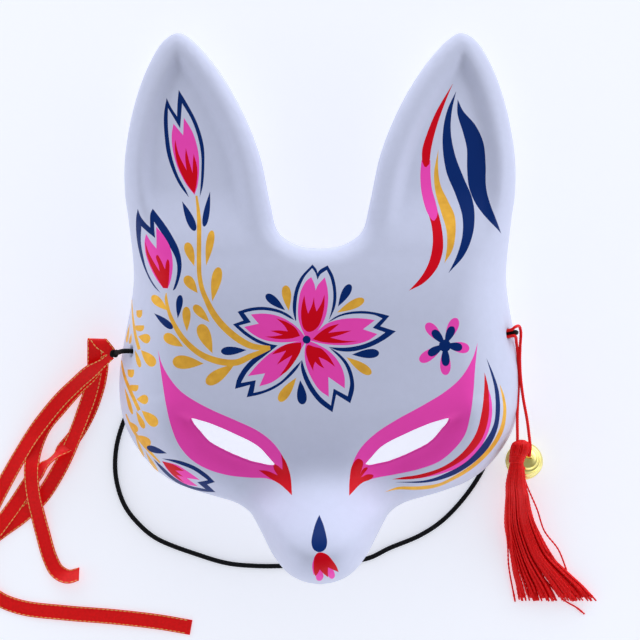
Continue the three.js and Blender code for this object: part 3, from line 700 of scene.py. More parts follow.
def paint_eye_surrounds():
    """The pink round each eye opening, with a red flame in its inner corner."""
    paint_outlines(
        (PINK, (-71.2, -21.2), [(-69.5, -26.8), (-65.7, -33.4), (-60.9, -38.9), (-54.8, -43.1),
         (-46.2, -47.5), (-36.4, -51.7), (-26.6, -56.4), (-19.9, -61.9), (-15.3, -69.3)], (-12.1, -83.7),
         [(-16.9, -79.7), (-23.1, -77.5), (-30.7, -77.4), (-40, -76.5), (-49.2, -73.8), (-56.5, -69.4),
         (-61.7, -63.1), (-65, -55), (-67.2, -45.7), (-69.3, -33.5)]),
        (RED, (-17, -66.1), [(-14.7, -70), (-12.8, -76)], (-12.1, -83.7), [(-16.9, -79.9),
         (-22.5, -76.9)], (-27, -74), [(-23.2, -74.2)], (-18.5, -75.9), [(-20.1, -73.5)], (-20.6, -70.7),
         [(-18.8, -71.4)], (-16.4, -73.3), [(-16.5, -69.4)]),
        (PINK, (69.1, -18), [(66.8, -24.7), (61.6, -33), (54.8, -39), (44.7, -45.1), (33.6, -51.1),
         (24.2, -57.2), (17.5, -63.9), (14, -71.2)], (12.6, -83.9), [(17, -79.5), (23.3, -77.5),
         (32.4, -76.1), (43.6, -73.6), (52.5, -70.1), (59.1, -64.4), (63.5, -58.2), (65.6, -50.3),
         (67, -40.3), (67.9, -29.1)]),
        (RED, (12.6, -83.9), [(12.8, -77.7), (14, -71.2), (16.5, -68.3), (18.7, -69.6), (18.5, -72.6)],
         (17.5, -75.3), [(19.1, -72.9), (21.1, -72.6)], (17.9, -76.7), [(20.8, -75.6), (23.6, -76.1),
         (22.4, -77.6), (18.2, -79.1)]))


def paint_cheek_strokes():
    """Four strokes that follow the right cheek below the eye."""
    paint_outlines(
        (PINK, (73.3, -35.9), [(75.4, -42.7), (75.7, -50.6), (73.8, -58.5), (69.6, -65.9), (62.9, -72.1),
         (53.9, -75.8)], (43.7, -78), [(53.8, -74.3), (62.1, -69.1), (69.4, -61.8), (72.7, -52.7),
         (73.7, -43.8)]),
        (RED, (72.3, -30.9), [(73.9, -37.1), (74.4, -43.8), (74, -51.7), (71.1, -60.7), (65, -68),
         (57.2, -73.1), (47.1, -77.1), (39.5, -78.3)], (31.7, -78.2), [(36.8, -77.2), (43.7, -76.1),
         (53.7, -72.8), (62, -66.8), (68.1, -58.3), (70.8, -48.7), (72, -39.3)]),
        (BLUE, (73.2, -24.7), [(76.4, -31.5), (79.1, -39.5), (79.7, -48.6), (78.4, -57.1), (74, -65.7),
         (66.6, -72.4), (57.5, -77.5), (47.3, -79.9)], (32.9, -79.6), [(47.2, -78.7), (56.7, -75.2),
         (65.1, -70.1), (72.4, -61.9), (76.7, -54.1), (77.5, -46.2), (76.9, -37.7)]),
        (GOLD, (79.5, -36.2), [(82, -41.9), (83, -48.8), (81.8, -57.4), (77.2, -65.4), (69.1, -73.3),
         (60.1, -79), (51.6, -82.7), (42.9, -83.5), (34.2, -82.9)], (28.4, -83.6), [(34.2, -81.8),
         (43.9, -81.7), (53.1, -80.5), (59.8, -77), (68.3, -71.3), (76.3, -62.8), (80.4, -54.4),
         (81.3, -46.4)]))


def paint_right_ear():
    """Four curling strokes in the right ear."""
    paint_outlines(
        (RED, (47.1, 40.8), [(49, 33.4), (49.3, 25.1), (47.4, 16.9), (43.9, 10.6)], (38.6, 4.7),
         [(45.1, 8.1), (50.9, 14.4), (53.7, 22), (53.8, 29.6), (52.7, 36.7)], (51.3, 42.2)),
        (PINK, (45, 62.9), [(44.4, 56), (45, 47.6), (47.4, 38.9), (50, 35.6), (51.8, 38.6), (51.3, 43.1),
         (49.5, 50.3), (49, 56.1)], (49, 62.9), [(47, 62.8)]),
        (RED, (59.7, 98.2), [(56, 89.4), (52, 78.2), (49.6, 69)], (48.5, 61.2), [(46.7, 59.6)],
         (45.2, 62.5), [(45.4, 67.7), (48.1, 76.2), (52.1, 85.4)]),
        (GOLD, (52.7, 68.1), [(52.4, 61.3), (53.3, 52.2), (56.7, 44.5), (59.4, 38.1), (59.6, 30.3),
         (58, 22.6)], (54.4, 16.8), [(55.6, 23.9), (55.5, 31.6), (53.3, 39.9), (51, 49), (50.6, 57.4)]),
        (BLUE, (61.1, 94.7), [(58.9, 84.9), (58.4, 75.7), (60.2, 65.3), (64, 55), (67.4, 46.6),
         (68.4, 38.2), (67.1, 29.1), (63.1, 20.2)], (56.1, 12.5), [(59.9, 20.1), (62.6, 29.1),
         (62.8, 38.1), (60, 47.8), (56.2, 57.5), (54.6, 69.1), (55.2, 78.9), (57.3, 86.8)]),
        (BLUE, (61.7, 90.9), [(64.1, 85.7), (69.6, 79.3), (73.1, 71.5), (74, 61.7), (74, 51.3),
         (76, 42.2)], (80.8, 30.5), [(73.9, 37), (68.9, 44), (66.2, 51.2), (65.5, 59.6), (65.5, 68.7),
         (63.7, 76.5), (61.5, 84.3)]))


def paint_nose():
    """A blue drop down the snout and a red tulip below it."""
    paint_outlines(
        (BLUE, (-0.3, -90.8), [(1.4, -94.4), (2.5, -98.1), (3, -101.5), (2.1, -104), (-0.2, -105.1),
         (-2.7, -104), (-3.6, -101.3), (-2.9, -97.3), (-1.8, -93.8)]),
        (PINK, [(-1.8, -115.6), (-1.1, -118.4), (0.3, -118.5), (1.5, -116.2), (0.9, -113.7),
         (-0.1, -112.1), (-1.3, -113.4)]),
        (PINK, [(3.1, -111.4), (3.6, -116.3), (5.1, -117.8), (6.2, -116.9), (6.1, -114.5), (5.3, -112.6),
         (4, -111)]))
    paint(PINK, stroke([(-2.2, -106.9), (-2.9, -110.9), (-2.5, -115.4)], [0.3, 0.8, 0.4]))
    paint_outlines(
        (RED, (-1.9, -116), [(-2.5, -114), (-2.7, -110.9), (-2.2, -106.9), (-0.9, -105.3), (1.2, -105.3),
         (3.2, -106.2), (5.2, -108.6), (6.9, -111.4)], (7.9, -114.4), [(5.7, -113.1)], (3.4, -111.7),
         [(3.3, -114)], (3.5, -116.7), [(1.6, -114.8)], (-0.1, -112.6), [(-0.9, -114.5)]))


def hole_loops():
    """The eye openings and temple holes."""
    turn = round_turn(20)
    holes = [np.stack([x + HOLE_RADIUS * HOLE_SQUASH * np.cos(turn), y + HOLE_RADIUS * np.sin(turn)], axis=1)
             for x, y in ((HOLE_X, HOLE_RIGHT_Y), (-HOLE_X, HOLE_LEFT_Y))]
    eye = spaced(EYE, PAINT_STEP, closed=True)
    return [eye, eye * (-1, 1), *holes]


def outward_directions(loop):
    """The level direction out of a closed loop at each of its points."""
    along = np.roll(loop, -1, axis=0)[:, :2] - np.roll(loop, 1, axis=0)[:, :2]
    out = np.stack([-along[:, 1], along[:, 0]], axis=1)
    return unit(out)


def rim_rings():
    """Rings inside the rim, closer where its edge rolls back more steeply."""
    out = outward_directions(RIM)
    rings = []
    for angle in RING_ANGLES:
        inward = RIM[:, 3] * (1 - math.cos(math.radians(angle)))
        ring = RIM[:, :2] - out * inward[:, None]
        gap, _ = nearest(RIM, ring)
        rings.append(ring[(gap > RING_SLACK * inward) & inside(RIM, ring)])
    return rings


def fill_grid():
    """A grid of even triangles over the face inside the rings."""
    rows = np.arange(-HALF_LENGTH, HALF_LENGTH, FILL_STEP * math.sqrt(3) / 2)
    grid = np.array([(x + (i % 2) * FILL_STEP / 2, y) for i, y in enumerate(rows)
                     for x in np.arange(-HALF_WIDTH, HALF_WIDTH, FILL_STEP)])
    grid = grid[inside(RIM, grid)]
    gap, values = nearest(RIM, grid)
    last_ring = 1 - math.cos(math.radians(RING_ANGLES[-1]))
    return grid[gap > last_ring * values[:, 3] + FILL_STEP / 2]


def shell_places(openings):
    """Where the shell's sheet has a vertex: its outlines first, with their edges, then rings and a grid."""
    outlines = [RIM[:, :2], *openings, *(shape for _, shape in painted)]
    edges = []
    for loop, start in zip(outlines, np.cumsum([0] + [len(loop) for loop in outlines])):
        edges += [(start + i, start + (i + 1) % len(loop)) for i in range(len(loop))]
    fixed = np.vstack(outlines)
    fill = np.vstack([*rim_rings(), fill_grid()])
    near = KDTree(len(fixed))
    for i, (x, y) in enumerate(fixed):
        near.insert((x, y, 0), i)
    near.balance()
    clear = [near.find((x, y, 0))[2] > PAINT_STEP / 2 for x, y in fill]
    return np.vstack([fixed, fill[clear]]), edges


def build_shell():
    """The face as a fine sheet, cut along every painted outline: places, triangles, normals, paints."""
    openings = hole_loops()
    places, edges = shell_places(openings)
    found = delaunay_2d_cdt([Vector(p) for p in places], edges, [], 0, 1e-4)
    flat = np.array([tuple(p) for p in found[0]])
    triangles = np.array(found[2])
    centres = flat[triangles].mean(1)
    kept = inside(RIM, centres)
    for loop in openings:
        kept &= ~inside(loop, centres)
    triangles, centres = triangles[kept], centres[kept]
    used, triangles = np.unique(triangles, return_inverse=True)
    flat, triangles = flat[used], triangles.reshape(-1, 3)

    colours = np.full(len(triangles), WHITE)
    for colour, shape in painted:
        colours[inside(shape, centres)] = colour

    front = np.column_stack([flat, front_heights(flat)])
    sides = front[triangles]
    turned = np.cross(sides[:, 1] - sides[:, 0], sides[:, 2] - sides[:, 0])
    normals = np.zeros_like(front)
    for corner in range(3):
        np.add.at(normals, triangles[:, corner], turned)
    return front, triangles, unit(normals), colours


def boundary_of(triangles):
    """The directed edges that only one triangle has."""
    sides = np.vstack([triangles[:, [0, 1]], triangles[:, [1, 2]], triangles[:, [2, 0]]])
    known = {(a, b) for a, b in sides.tolist()}
    return [(a, b) for a, b in sides.tolist() if (b, a) not in known]


def back_places(front, normals):
    """The inner sheet, a wall's thickness behind the face, and level with it along the rim."""
    gap, _ = nearest(RIM, front[:, :2])
    on_rim = gap < 1e-3
    level = normals[:, :2] / np.maximum(np.linalg.norm(normals[:, :2], axis=1), 1e-6)[:, None]
    back_step = normals.copy()
    back_step[on_rim] = np.column_stack([level, np.zeros(len(front))])[on_rim]
    return front - WALL * back_step


def edge_directions(front, normals, ends):
    """For each place on the sheet's edges, the direction straight out of the sheet."""
    out_of = {}
    for a, b in ends:
        side = unit(np.cross(front[b] - front[a], normals[a] + normals[b]))
        for end in (a, b):
            out_of[end] = out_of.get(end, 0) + side
    return {end: unit(out) for end, out in out_of.items()}


def rounded_edge(front, back, normals, ends):
    """The edge between the two sheets: its rows of indices by place, its new places and their normals."""
    rows, places, directions = {}, [], []
    for end, out in edge_directions(front, normals, ends).items():
        down = (front[end] - back[end]) / WALL
        rows[end] = [end]
        for share in EDGE_SHARES:
            turn = math.pi * share
            bulge = EDGE_BULGE * math.sin(turn)
            rows[end].append(2 * len(front) + len(places))
            place = front[end] - down * WALL * share + out * bulge
            places.append((place[0], place[1], max(place[2], 0)))
            directions.append(out * math.sin(turn) + down * math.cos(turn))
        rows[end].append(end + len(front))
    return rows, np.array(places), np.array(directions)


def paint_by_edge(triangles, colours):
    """The paint of the triangle beside each directed edge."""
    return {(triangle[k], triangle[(k + 1) % 3]): colour
            for triangle, colour in zip(triangles.tolist(), colours.tolist()) for k in range(3)}


def add_flat_map(shell, spots, sheet):
    """A flat map with the face in its left half and the inside, the second sheet, in its right half."""
    spots = spots / (2 * HALF_LENGTH + MAP_MARGIN) + 0.5
    spots[:, 0] *= 0.5
    spots[sheet:2 * sheet, 0] += 0.5
    shell.data.uv_layers.new(name="OFBake").data.foreach_set("uv", spots.ravel())


def finish_shell(materials):
    """The painted face, the plain sheet behind it and the rounded edge between them."""
    front, triangles, normals, colours = build_shell()
    back = back_places(front, normals)
    ends = boundary_of(triangles)
    rows, edge_places, edge_normals = rounded_edge(front, back, normals, ends)
    faces = triangles.tolist() + (triangles[:, ::-1] + len(front)).tolist()
    choices = colours.tolist() + [PLAIN] * len(triangles)
    edge_paints = paint_by_edge(triangles, colours)
    for a, b in ends:
        for k in range(len(EDGE_SHARES) + 1):
            faces.append((rows[b][k], rows[a][k], rows[a][k + 1], rows[b][k + 1]))
            choices.append(edge_paints[a, b])
    places = np.vstack([front, back, edge_places])
    directions = unit(np.vstack([normals, -normals, edge_normals]))
    shell = make_object("painted_shell", places, faces, materials, choices)
    corners = [index for face in faces for index in face]
    shell.data.normals_split_custom_set(directions[corners].tolist())
    add_flat_map(shell, places[corners, :2], 3 * len(triangles))
    place_piece(shell, "painted_shell", "mask_shell")


def frames_along(path):
    """For each point of a path, its direction and two directions across it that don't twist."""
    along = unit(np.gradient(path, axis=0))
    side = np.cross(along[0], (0, 0, 1))
    if np.linalg.norm(side) < 0.1:
        side = np.cross(along[0], (1, 0, 0))
    sides = []
    for direction in along:
        side = unit(side - direction * (side @ direction))
        sides.append(side)
    sides = np.array(sides)
    return along, sides, np.cross(along, sides)


def ring_faces(count, sides):
    """The faces of a closed skin over so many rings of so many places."""
    faces = [(i * sides + k, i * sides + (k + 1) % sides, (i + 1) * sides + (k + 1) % sides,
              (i + 1) * sides + k) for i in range(count - 1) for k in range(sides)]
    faces.append(tuple(reversed(range(sides))))
    faces.append(tuple((count - 1) * sides + k for k in range(sides)))
    return faces


def tube(path, radii):
    """Rings round a path. radii has a row for each point and a column for each side."""
    _, side, up = frames_along(path)
    turn = round_turn(radii.shape[1])
    rings = (path[:, None] + radii[..., None] * (np.cos(turn)[None, :, None] * side[:, None]
                                                 + np.sin(turn)[None, :, None] * up[:, None]))
    return rings.reshape(-1, 3), ring_faces(*radii.shape)


def joined(parts):
    """Several (places, faces) as one."""
    places, faces, start = [], [], 0
    for some, more in parts:
        places.append(some)
        faces += [tuple(index + start for index in face) for face in more]
        start += len(some)
    return np.vstack(places), faces


def laid(rows, floor, step):
    """An even path through the listed rows that never dips below the floor given."""
    path = spaced(smooth(rows, 12), step)
    path[:, 2] = np.maximum(path[:, 2], floor)
    return path


def by_hole(x, y, out, along, up):
    """A place by a temple hole: so far out along its axis, so far along the rim and up the slope."""
    axis = front_normal(x, y)
    up_slope = np.cross((0, 1, 0), axis)
    up_slope *= -math.copysign(1, x) / np.linalg.norm(up_slope)
    along_rim = np.cross(axis, up_slope)
    along_rim *= math.copysign(1, along_rim[1]) / np.linalg.norm(along_rim)
    start = np.array([x, y, front_heights(np.array([[x, y]]))[0]])
    return tuple(start + axis * out + along_rim * along + up_slope * up)


def by_left(*steps):
    """A place by the left temple hole."""
    return by_hole(-HOLE_X, HOLE_LEFT_Y, *steps)


def by_right(*steps):
    """A place by the right temple hole."""
    return by_hole(HOLE_X, HOLE_RIGHT_Y, *steps)


# The elastic: from its knot through the left hole, along the floor inside and below the snout, and out
# through the right hole.
FLOOR = ELASTIC_DIAMETER / 2 + RESTING
KNOT_PLACE = (-93.1, -23.2, 14.6)
ELASTIC_ROUTE = [
    (-93.3, -23.2, 14.2), (-91.6, -22.8, 17), by_left(3.4, -0.4, 0), by_left(-1, 0, 0),
    by_left(-4.6, 0, -0.8), (-79.2, -22.6, 12.5), (-79, -24, 7), (-79.8, -28, 2.8), (-81.5, -33, FLOOR),
    (-84.6, -41, FLOOR), (-87.8, -49, FLOOR), (-91.1, -56.5, FLOOR), (-93.7, -66.1, FLOOR),
    (-94.4, -75.8, FLOOR), (-93.2, -84.6, FLOOR), (-90, -93.4, FLOOR), (-84.7, -100.7, FLOOR),
    (-75.7, -108.4, FLOOR), (-55.4, -116.4, FLOOR), (-42.4, -120.1, FLOOR), (-29.5, -121.3, FLOOR),
    (-16.6, -121.3, FLOOR), (4, -120.3, FLOOR), (22.1, -117.8, FLOOR), (31.8, -113.2, FLOOR),
    (46.1, -107.2, FLOOR), (56.5, -100.3, FLOOR), (66.9, -89.2, FLOOR), (74.7, -77.2, FLOOR),
    (79, -66, FLOOR), (81.3, -52, FLOOR), (81.5, -38, FLOOR), (80, -26, FLOOR), (78.6, -19, 4),
    (78.4, -15.5, 9.5), by_right(-4.8, 0, -1.4), by_right(-1, 0, -0.7), by_right(1.4, 0.2, -0.7),
    by_right(2.6, 0.2, -1.4), by_right(2.8, 0, -3),
]

# The ribbon tails, from the knot out. The fourth number rolls the ribbon, in degrees, and the fifth is
# its width as a share of the full one. The second tail is folded back under itself near its start.
RIBBON_ROUTES = [
    [(-94.8, -24.2, 11.8, 0, 0.5), (-99, -27.6, 10, -10, 0.6), (-104.7, -31.5, 8.2, -22),
     (-110.9, -36.8, 6.6, -20), (-119, -44.6, 5.2, -12), (-126.4, -53.4, 4.4, -6), (-132, -61, 3.8, 8),
     (-137.6, -69.9, 3.2, 12), (-143, -79, 1.6, 6), (-148, -88, 0.3), (-152, -96, 0.3)],
    [(-94.6, -23.6, 12, 0, 0.75), (-97.6, -20.8, 12.2, 0, 1.18), (-100.4, -17.4, 12, 0, 1.2),
     (-101.4, -16.5, 11.2, 2, 1.2), (-102, -17.2, 10, 0, 1.15), (-102.7, -20.5, 8.8), (-102.9, -25, 7.4),
     (-103.4, -32, 5), (-105.8, -42, 2.6), (-108.6, -50, 1.8, 8), (-111.6, -58, 1.6, 14),
     (-116.6, -69.8, 1.6, 10), (-121.4, -79, 1.4), (-128.4, -89.6, 0.3), (-137.4, -98.2, 0.3),
     (-147.6, -105.6, 0.3), (-154.6, -111.4, 0.6, 8), (-158, -119, 1, 14), (-156.4, -128, 1, 12),
     (-148.6, -136, 0.6, 6), (-138.2, -140.4, 0.3), (-117.6, -143, 0.6, -5), (-95, -144.8, 0.6, -6),
     (-74.3, -147.2, 0.4, -4), (-59.4, -149.8, 0.3)],
    [(-95, -23.6, 9.6, 0, 0.35), (-99.6, -27, 6.8, 0, 0.6), (-104.6, -32.4, 4.6), (-112, -39.4, 3.2),
     (-120, -48.4, 2.4), (-127, -57, 2), (-131.2, -67, 2.4), (-132.4, -77, 4.8, 6),
     (-131.6, -88.7, 3.6, 10), (-130, -97, 2, 8), (-128, -105.4, 1, 4), (-124.6, -117.4, 0.6),
     (-121.2, -123.6, 1, -10), (-116, -126, 2.6, -32), (-110.6, -124.6, 4, -42)],
    [(-95, -22.6, 8.4, 0, 0.35), (-98.6, -24.8, 4.6, 0, 0.6), (-101, -31, 1.4), (-103, -40, 0.3),
     (-106.6, -50, 0.3), (-112.4, -60.6, 0.3), (-116.6, -65.8, 0.5, 8), (-120.8, -69.8, 3.2, 62),
     (-124.6, -73.2, 3.4, 68), (-128.6, -77, 2, 34), (-132.8, -81.6, 0.8, 8), (-140.4, -93, 0.6),
     (-146.6, -101.6, 1.4), (-151, -107.4, 1.4)],
]

# How many steps of the second tail lie before its fold
FOLD_STEPS = 36

# Places across a ribbon as shares of its half width, close together where its woven edge starts
RIBBON_SHARES = (-1, -0.985, -0.94, -0.9, -0.84, -0.5, 0, 0.5, 0.84, 0.9, 0.94, 0.985, 1)
WOVEN_EDGE_FROM = 0.88

# The doubled red cord: from the tassel's head up through the hole, round behind it and back down.
CORD_FLOOR = CORD_DIAMETER / 2 + RESTING
CORD_ROUTE = [
    (91, -95, 8), (90, -88, 12.6), (88.8, -80, 17.6), (88.6, -71, 19.4), (88.7, -63.2, 20.8),
    (88.8, -60, 20.4), (89, -52, 17.8), (89.6, -43, 15.4), (90, -36, 14.6), (90, -29, 14.4),
    (89.5, -23, 14.8), (88.8, -18.2, 16), by_right(3, -1.5, 0.6), by_right(0.4, -1.4, 0.7),
    by_right(-2.6, -1.4, 0.7), by_right(-4.6, -0.6, 1.2), by_right(-4.6, 0.6, 1.2),
    by_right(-2.6, 1.4, 0.7), by_right(0.4, 1.4, 0.7), by_right(2.2, 1.5, 0.7), by_right(3.8, 2.4, 0.4),
    (90, -11, 17.4), (90.8, -13.4, 16), (90.6, -20, 15.2), (90.5, -27, 15), (90.8, -34, 15.4),
    (91.8, -43, 16.2), (93.4, -53, 18), (94.2, -61, 20), (94.6, -65.5, 20.2), (94.4, -69.4, 18.2),
]


def braid_radii(path, radius, sides=16, lift=0.05):
    """A braided cover: two sets of strands that wind opposite ways."""
    far = np.arange(len(path))[:, None] * BRAID_TURN
    turn = round_turn(sides)[None, :]
    return radius * (1 - lift + lift * np.sin(4 * turn + far) * np.sin(4 * turn - far))


def build_elastic(material):
    """The braided elastic and the knot at its left end, which is a trefoil."""
    path = laid(ELASTIC_ROUTE, FLOOR, ELASTIC_STEP)
    cord = tube(path, braid_radii(path, ELASTIC_DIAMETER / 2))
    turn = np.linspace(0, 2 * math.pi, 90)
    trefoil = np.stack([np.sin(turn) + 2 * np.sin(2 * turn), 2 * np.sin(3 * turn),
                        np.cos(turn) - 2 * np.cos(2 * turn)], axis=1)
    knot = tube(KNOT_SIZE * trefoil + KNOT_PLACE, np.full((len(turn), 12), KNOT_STRAND_RADIUS))
    piece = make_object("elastic", *joined([cord, knot]), [material])
    place_piece(piece, "black_elastic", "elastic_cord")


def ribbon_frames(rows, folded):
    """An even path along a ribbon's middle, with its directions across and through and its width."""
    full = [(*row, 0, 1)[:5] if len(row) == 3 else (*row, 1)[:5] for row in rows]
    path = spaced(smooth(full, 12), RIBBON_STEP)
    lift = RIBBON_WIDTH / 2 * path[:, 4] * np.abs(np.sin(np.radians(path[:, 3])))
    path[:, 2] = np.maximum(path[:, 2], RIBBON_THICKNESS + RESTING + lift)
    along = unit(np.gradient(path[:, :3], axis=0))
    heading = np.unwrap(np.arctan2(along[:, 1], along[:, 0])) + math.pi / 2
    if folded:
        heading -= heading[FOLD_STEPS]
        heading[:FOLD_STEPS] = 0
        heading -= math.pi
    across = np.stack([np.cos(heading), np.sin(heading), np.zeros(len(path))], axis=1)
    square = along * (across * along).sum(1)[:, None]
    if folded:
        square[:FOLD_STEPS] = 0
    across = unit(across - square)
    roll = np.radians(path[:, 3])[:, None]
    across = across * np.cos(roll) + np.cross(along, across) * np.sin(roll)
    through = unit(np.cross(along, across))
    return path, across, through, path[:, 4] * RIBBON_WIDTH


def ribbon_strip(path, across, through, width):
    """A thin strip along the path with thicker woven edges."""
    half = np.array(RIBBON_SHARES)
    thickness = np.where(abs(half) > WOVEN_EDGE_FROM, 0.5, 0.34) * np.where(abs(half) == 1, 0.4, 1)
    profile = np.vstack([np.column_stack([half, thickness]), np.column_stack([half, -thickness])[::-1]])
    rings = (path[:, None, :3] + across[:, None] * profile[None, :, :1] * width[:, None, None] / 2
             + through[:, None] * profile[None, :, 1:] * RIBBON_THICKNESS)
    return rings.reshape(-1, 3), ring_faces(len(path), len(profile))


def stitches(path, across, through, width):
    """Short raised threads end to end along both edges, on both faces of the strip."""
    count = len(STITCH_RADII)
    radii = np.tile(np.array(STITCH_RADII)[:, None], STITCH_SIDES)
    threads = []
    for start in range(3, len(path) - count - 1, count):
        span = slice(start, start + count)
        for side in (-STITCH_FROM_MIDDLE, STITCH_FROM_MIDDLE):
            for face in (-1, 1):
                line = (path[span, :3] + across[span] * side * width[span, None] / 2
                        + through[span] * face * STITCH_LIFT * RIBBON_THICKNESS)
                threads.append(tube(line, radii))
    return threads


def build_ribbon(number, rows, materials):
    """One satin tail with gold stitches."""
    frames = ribbon_frames(rows, number == 2)
    strip = ribbon_strip(*frames)
    places, faces = joined([strip, *stitches(*frames)])
    choices = [0] * len(strip[1]) + [1] * (len(faces) - len(strip[1]))
    piece = make_object(f"ribbon_{number}", places, faces, materials, choices)
    place_piece(piece, "red_ribbon", f"ribbon_tail_{number}")


def twisted_radii(path, radius, sides=12):
    """Three plies wound round each other."""
    phase = np.arange(len(path))[:, None] * CORD_STEP * 2 * math.pi / CORD_PITCH
    turn = round_turn(sides)[None, :]
    return radius * (1 - CORD_GROOVES + CORD_GROOVES * np.abs(np.cos(1.5 * (turn - phase))))


BELL_PLACE = (93.2, -72.3, BELL_RADIUS + RESTING)
BELL_AXIS = Vector((0.12, 0.3, 0.95)).normalized()

# Where the bell's pressed rings and grooves are, in degrees from its seam, with their height and width.
BELL_RINGS = [
    (0, -0.5, 1.6), (9, 0.26, 3.4), (-9, 0.26, 3.4), (22, -0.42, 2), (32, 0.2, 4), (46, -0.45, 2),
    (57, 0.24, 4), (-30, -0.16, 2.4),
]


def turned_ball(radius, rings, sides=72, rows=100):
    """A ball turned about its own axis, with rings and grooves."""
    places = [(0, 0, -radius)]
    turn = round_turn(sides)
    for i in range(1, rows):
        angle = 180 * i / rows - 90
        grown = radius + sum(high * math.exp(-((angle - at) / wide) ** 2) for at, high, wide in rings)
        wide, high = grown * math.cos(math.radians(angle)), grown * math.sin(math.radians(angle))
        places += [(wide * math.cos(t), wide * math.sin(t), high) for t in turn]
    places.append((0, 0, radius))
    last = len(places) - 1
    faces = [(0, 1 + (k + 1) % sides, 1 + k) for k in range(sides)]
    for row in range(1, last - sides, sides):
        faces += [(row + k, row + (k + 1) % sides, row + sides + (k + 1) % sides, row + sides + k)
                  for k in range(sides)]
    faces += [(last - sides + k, last - sides + (k + 1) % sides, last) for k in range(sides)]
    return np.array(places), faces


def slot_cutter(material):
    """A bar with a round hole at each end, through the bell's lower half."""
    reach = BELL_RADIUS * BELL_SLOT_REACH
    end = BELL_SLOT_END_RADIUS
    flat = math.asin(BELL_SLOT / 2 / end)
    bend = np.linspace(flat - math.pi, math.pi - flat, 15)
    right = [(reach + end * math.cos(a), end * math.sin(a)) for a in bend]
    shape = right + [(-x, -y) for x, y in right]
    count = len(shape)
    places = [(x, y, z) for z in (-2 * BELL_RADIUS, -2) for x, y in shape]
    faces = [tuple(reversed(range(count))), tuple(range(count, 2 * count))]
    faces += [(k, (k + 1) % count, (k + 1) % count + count, k + count) for k in range(count)]
    return make_object("cutter", places, faces, [material], smooth_faces=False)


def cut_away(piece, cutter):
    """The places and faces of a piece without what the cutter takes, and both objects gone."""
    cut = piece.modifiers.new("cut", "BOOLEAN")
    cut.operation = "DIFFERENCE"
    cut.solver = "EXACT"
    cut.object = cutter
    mesh = piece.evaluated_get(bpy.context.evaluated_depsgraph_get()).data
    places = np.array([tuple(vertex.co / MM) for vertex in mesh.vertices])
    faces = [tuple(face.vertices) for face in mesh.polygons]
    for spare in (piece, cutter):
        bpy.data.objects.remove(spare)
    return places, faces


def build_bell(material):
    """A hollow ball of two pressed halves with a slot below, and the loop that it hangs by."""
    outer = turned_ball(BELL_BODY_RADIUS, BELL_RINGS)
    places, faces = turned_ball(BELL_BODY_RADIUS - BELL_WALL, [])
    inner = (places, [tuple(reversed(face)) for face in faces])
    ball = make_object("bell_shell", *joined([outer, inner]), [material])
    ball = cut_away(ball, slot_cutter(material))
    turn = np.linspace(0.1, math.pi - 0.1, 24)
    loop = np.stack([BELL_LOOP_RADIUS * np.cos(turn), 0 * turn,
                     BELL_RADIUS - BELL_LOOP_SUNK + BELL_LOOP_HEIGHT * np.sin(turn)], axis=1)
    places, faces = joined([ball, tube(loop, np.full((len(loop), 12), BELL_LOOP_WIRE_RADIUS))])
    spin = np.array(BELL_AXIS.to_track_quat("Z", "Y").to_matrix())
    bell = make_object("jingle_bell", places @ spin.T + BELL_PLACE, faces, [material])
    place_piece(bell, "gold_bell", "bell")
    return bell


# The tassel's rows: its middle, half width and half height, from the top of its head to its ends.
TASSEL_ROWS = [
    (90.4, -62.2, 20.4, 1.2, 1.2), (90.3, -63, 20.3, 3.3, 3.2), (90.1, -65.4, 20, 4.3, 4.1),
    (89.4, -68.2, 19.6, 3.9, 3.8), (88.7, -70, 19.3, 2.9, 2.9), (88.5, -71.8, 19.1, 2.7, 2.7),
    (88.4, -75.3, 18.8, 3.4, 3.1), (88.3, -82, 16.6, 4.4, 3.2), (89.3, -87.5, 12.8, 5.1, 3.3),
    (90.3, -95, 7.4, 6.1, 3.2), (91.8, -103, 4, 7.5, 2.8), (96.4, -116, 2.8, 9.8, 2.6),
    (101, -124, 2.5, 13.6, 2.3), (105.2, -130.4, 2.3, 16.6, 2.1), (108.8, -137.2, 2.1, 19.4, 1.9),
]
NECK_ROWS = (
    (89.2, -68.9, 3.75), (89, -69.6, 3.5), (88.75, -70.3, 3.3), (88.6, -71, 3.2), (88.5, -71.7, 3.2),
)
STRAY_THREADS = [
    [(90, -71.5, 20), (93.2, -81.8, 16), (99, -94.5, 10), (102.8, -104.7, 6), (109.3, -113.1, 3),
     (112.4, -119.9, 1.2), (114.2, -125.6, 0.6)],
    [(90, -71.5, 19), (92, -82, 17), (95.1, -94.3, 12), (103.9, -111.9, 5), (112.4, -124.6, 0.6)],
    [(104, -128, 1), (112.9, -137.4, 0.5), (118, -140.4, 0.5), (122, -143.6, 0.5)],
    [(88, -71.5, 19.6), (84.9, -88, 14), (85, -101, 8), (86.2, -112, 4), (86.9, -121.6, 2),
     (90, -137.9, 0.5)],
    [(88.4, -71.5, 19.6), (86, -88, 15), (86.6, -101, 9), (88, -112, 5), (89.4, -122, 2.4),
     (91.9, -137, 0.5)],
]


def spot_in_disc():
    """A place in a round of radius 1, crowded towards its rim, as the threads hang round a hollow."""
    reach = random.uniform(0, 1) ** THREAD_CROWDING
    angle = random.uniform(0, 2 * math.pi)
    return np.array([reach * math.cos(angle), reach * math.sin(angle)])


def thread_radii(line):
    """A twisted thread of two plies with a frayed, thicker end."""
    turn = round_turn(6)[None, :]
    phase = np.arange(len(line))[:, None] * THREAD_TWIST + random.uniform(0, 3)
    radii = THREAD_RADIUS * (1 + THREAD_GROOVES * np.cos(2 * (turn - phase)))
    radii[-5:-2] *= THREAD_FRAY
    return radii


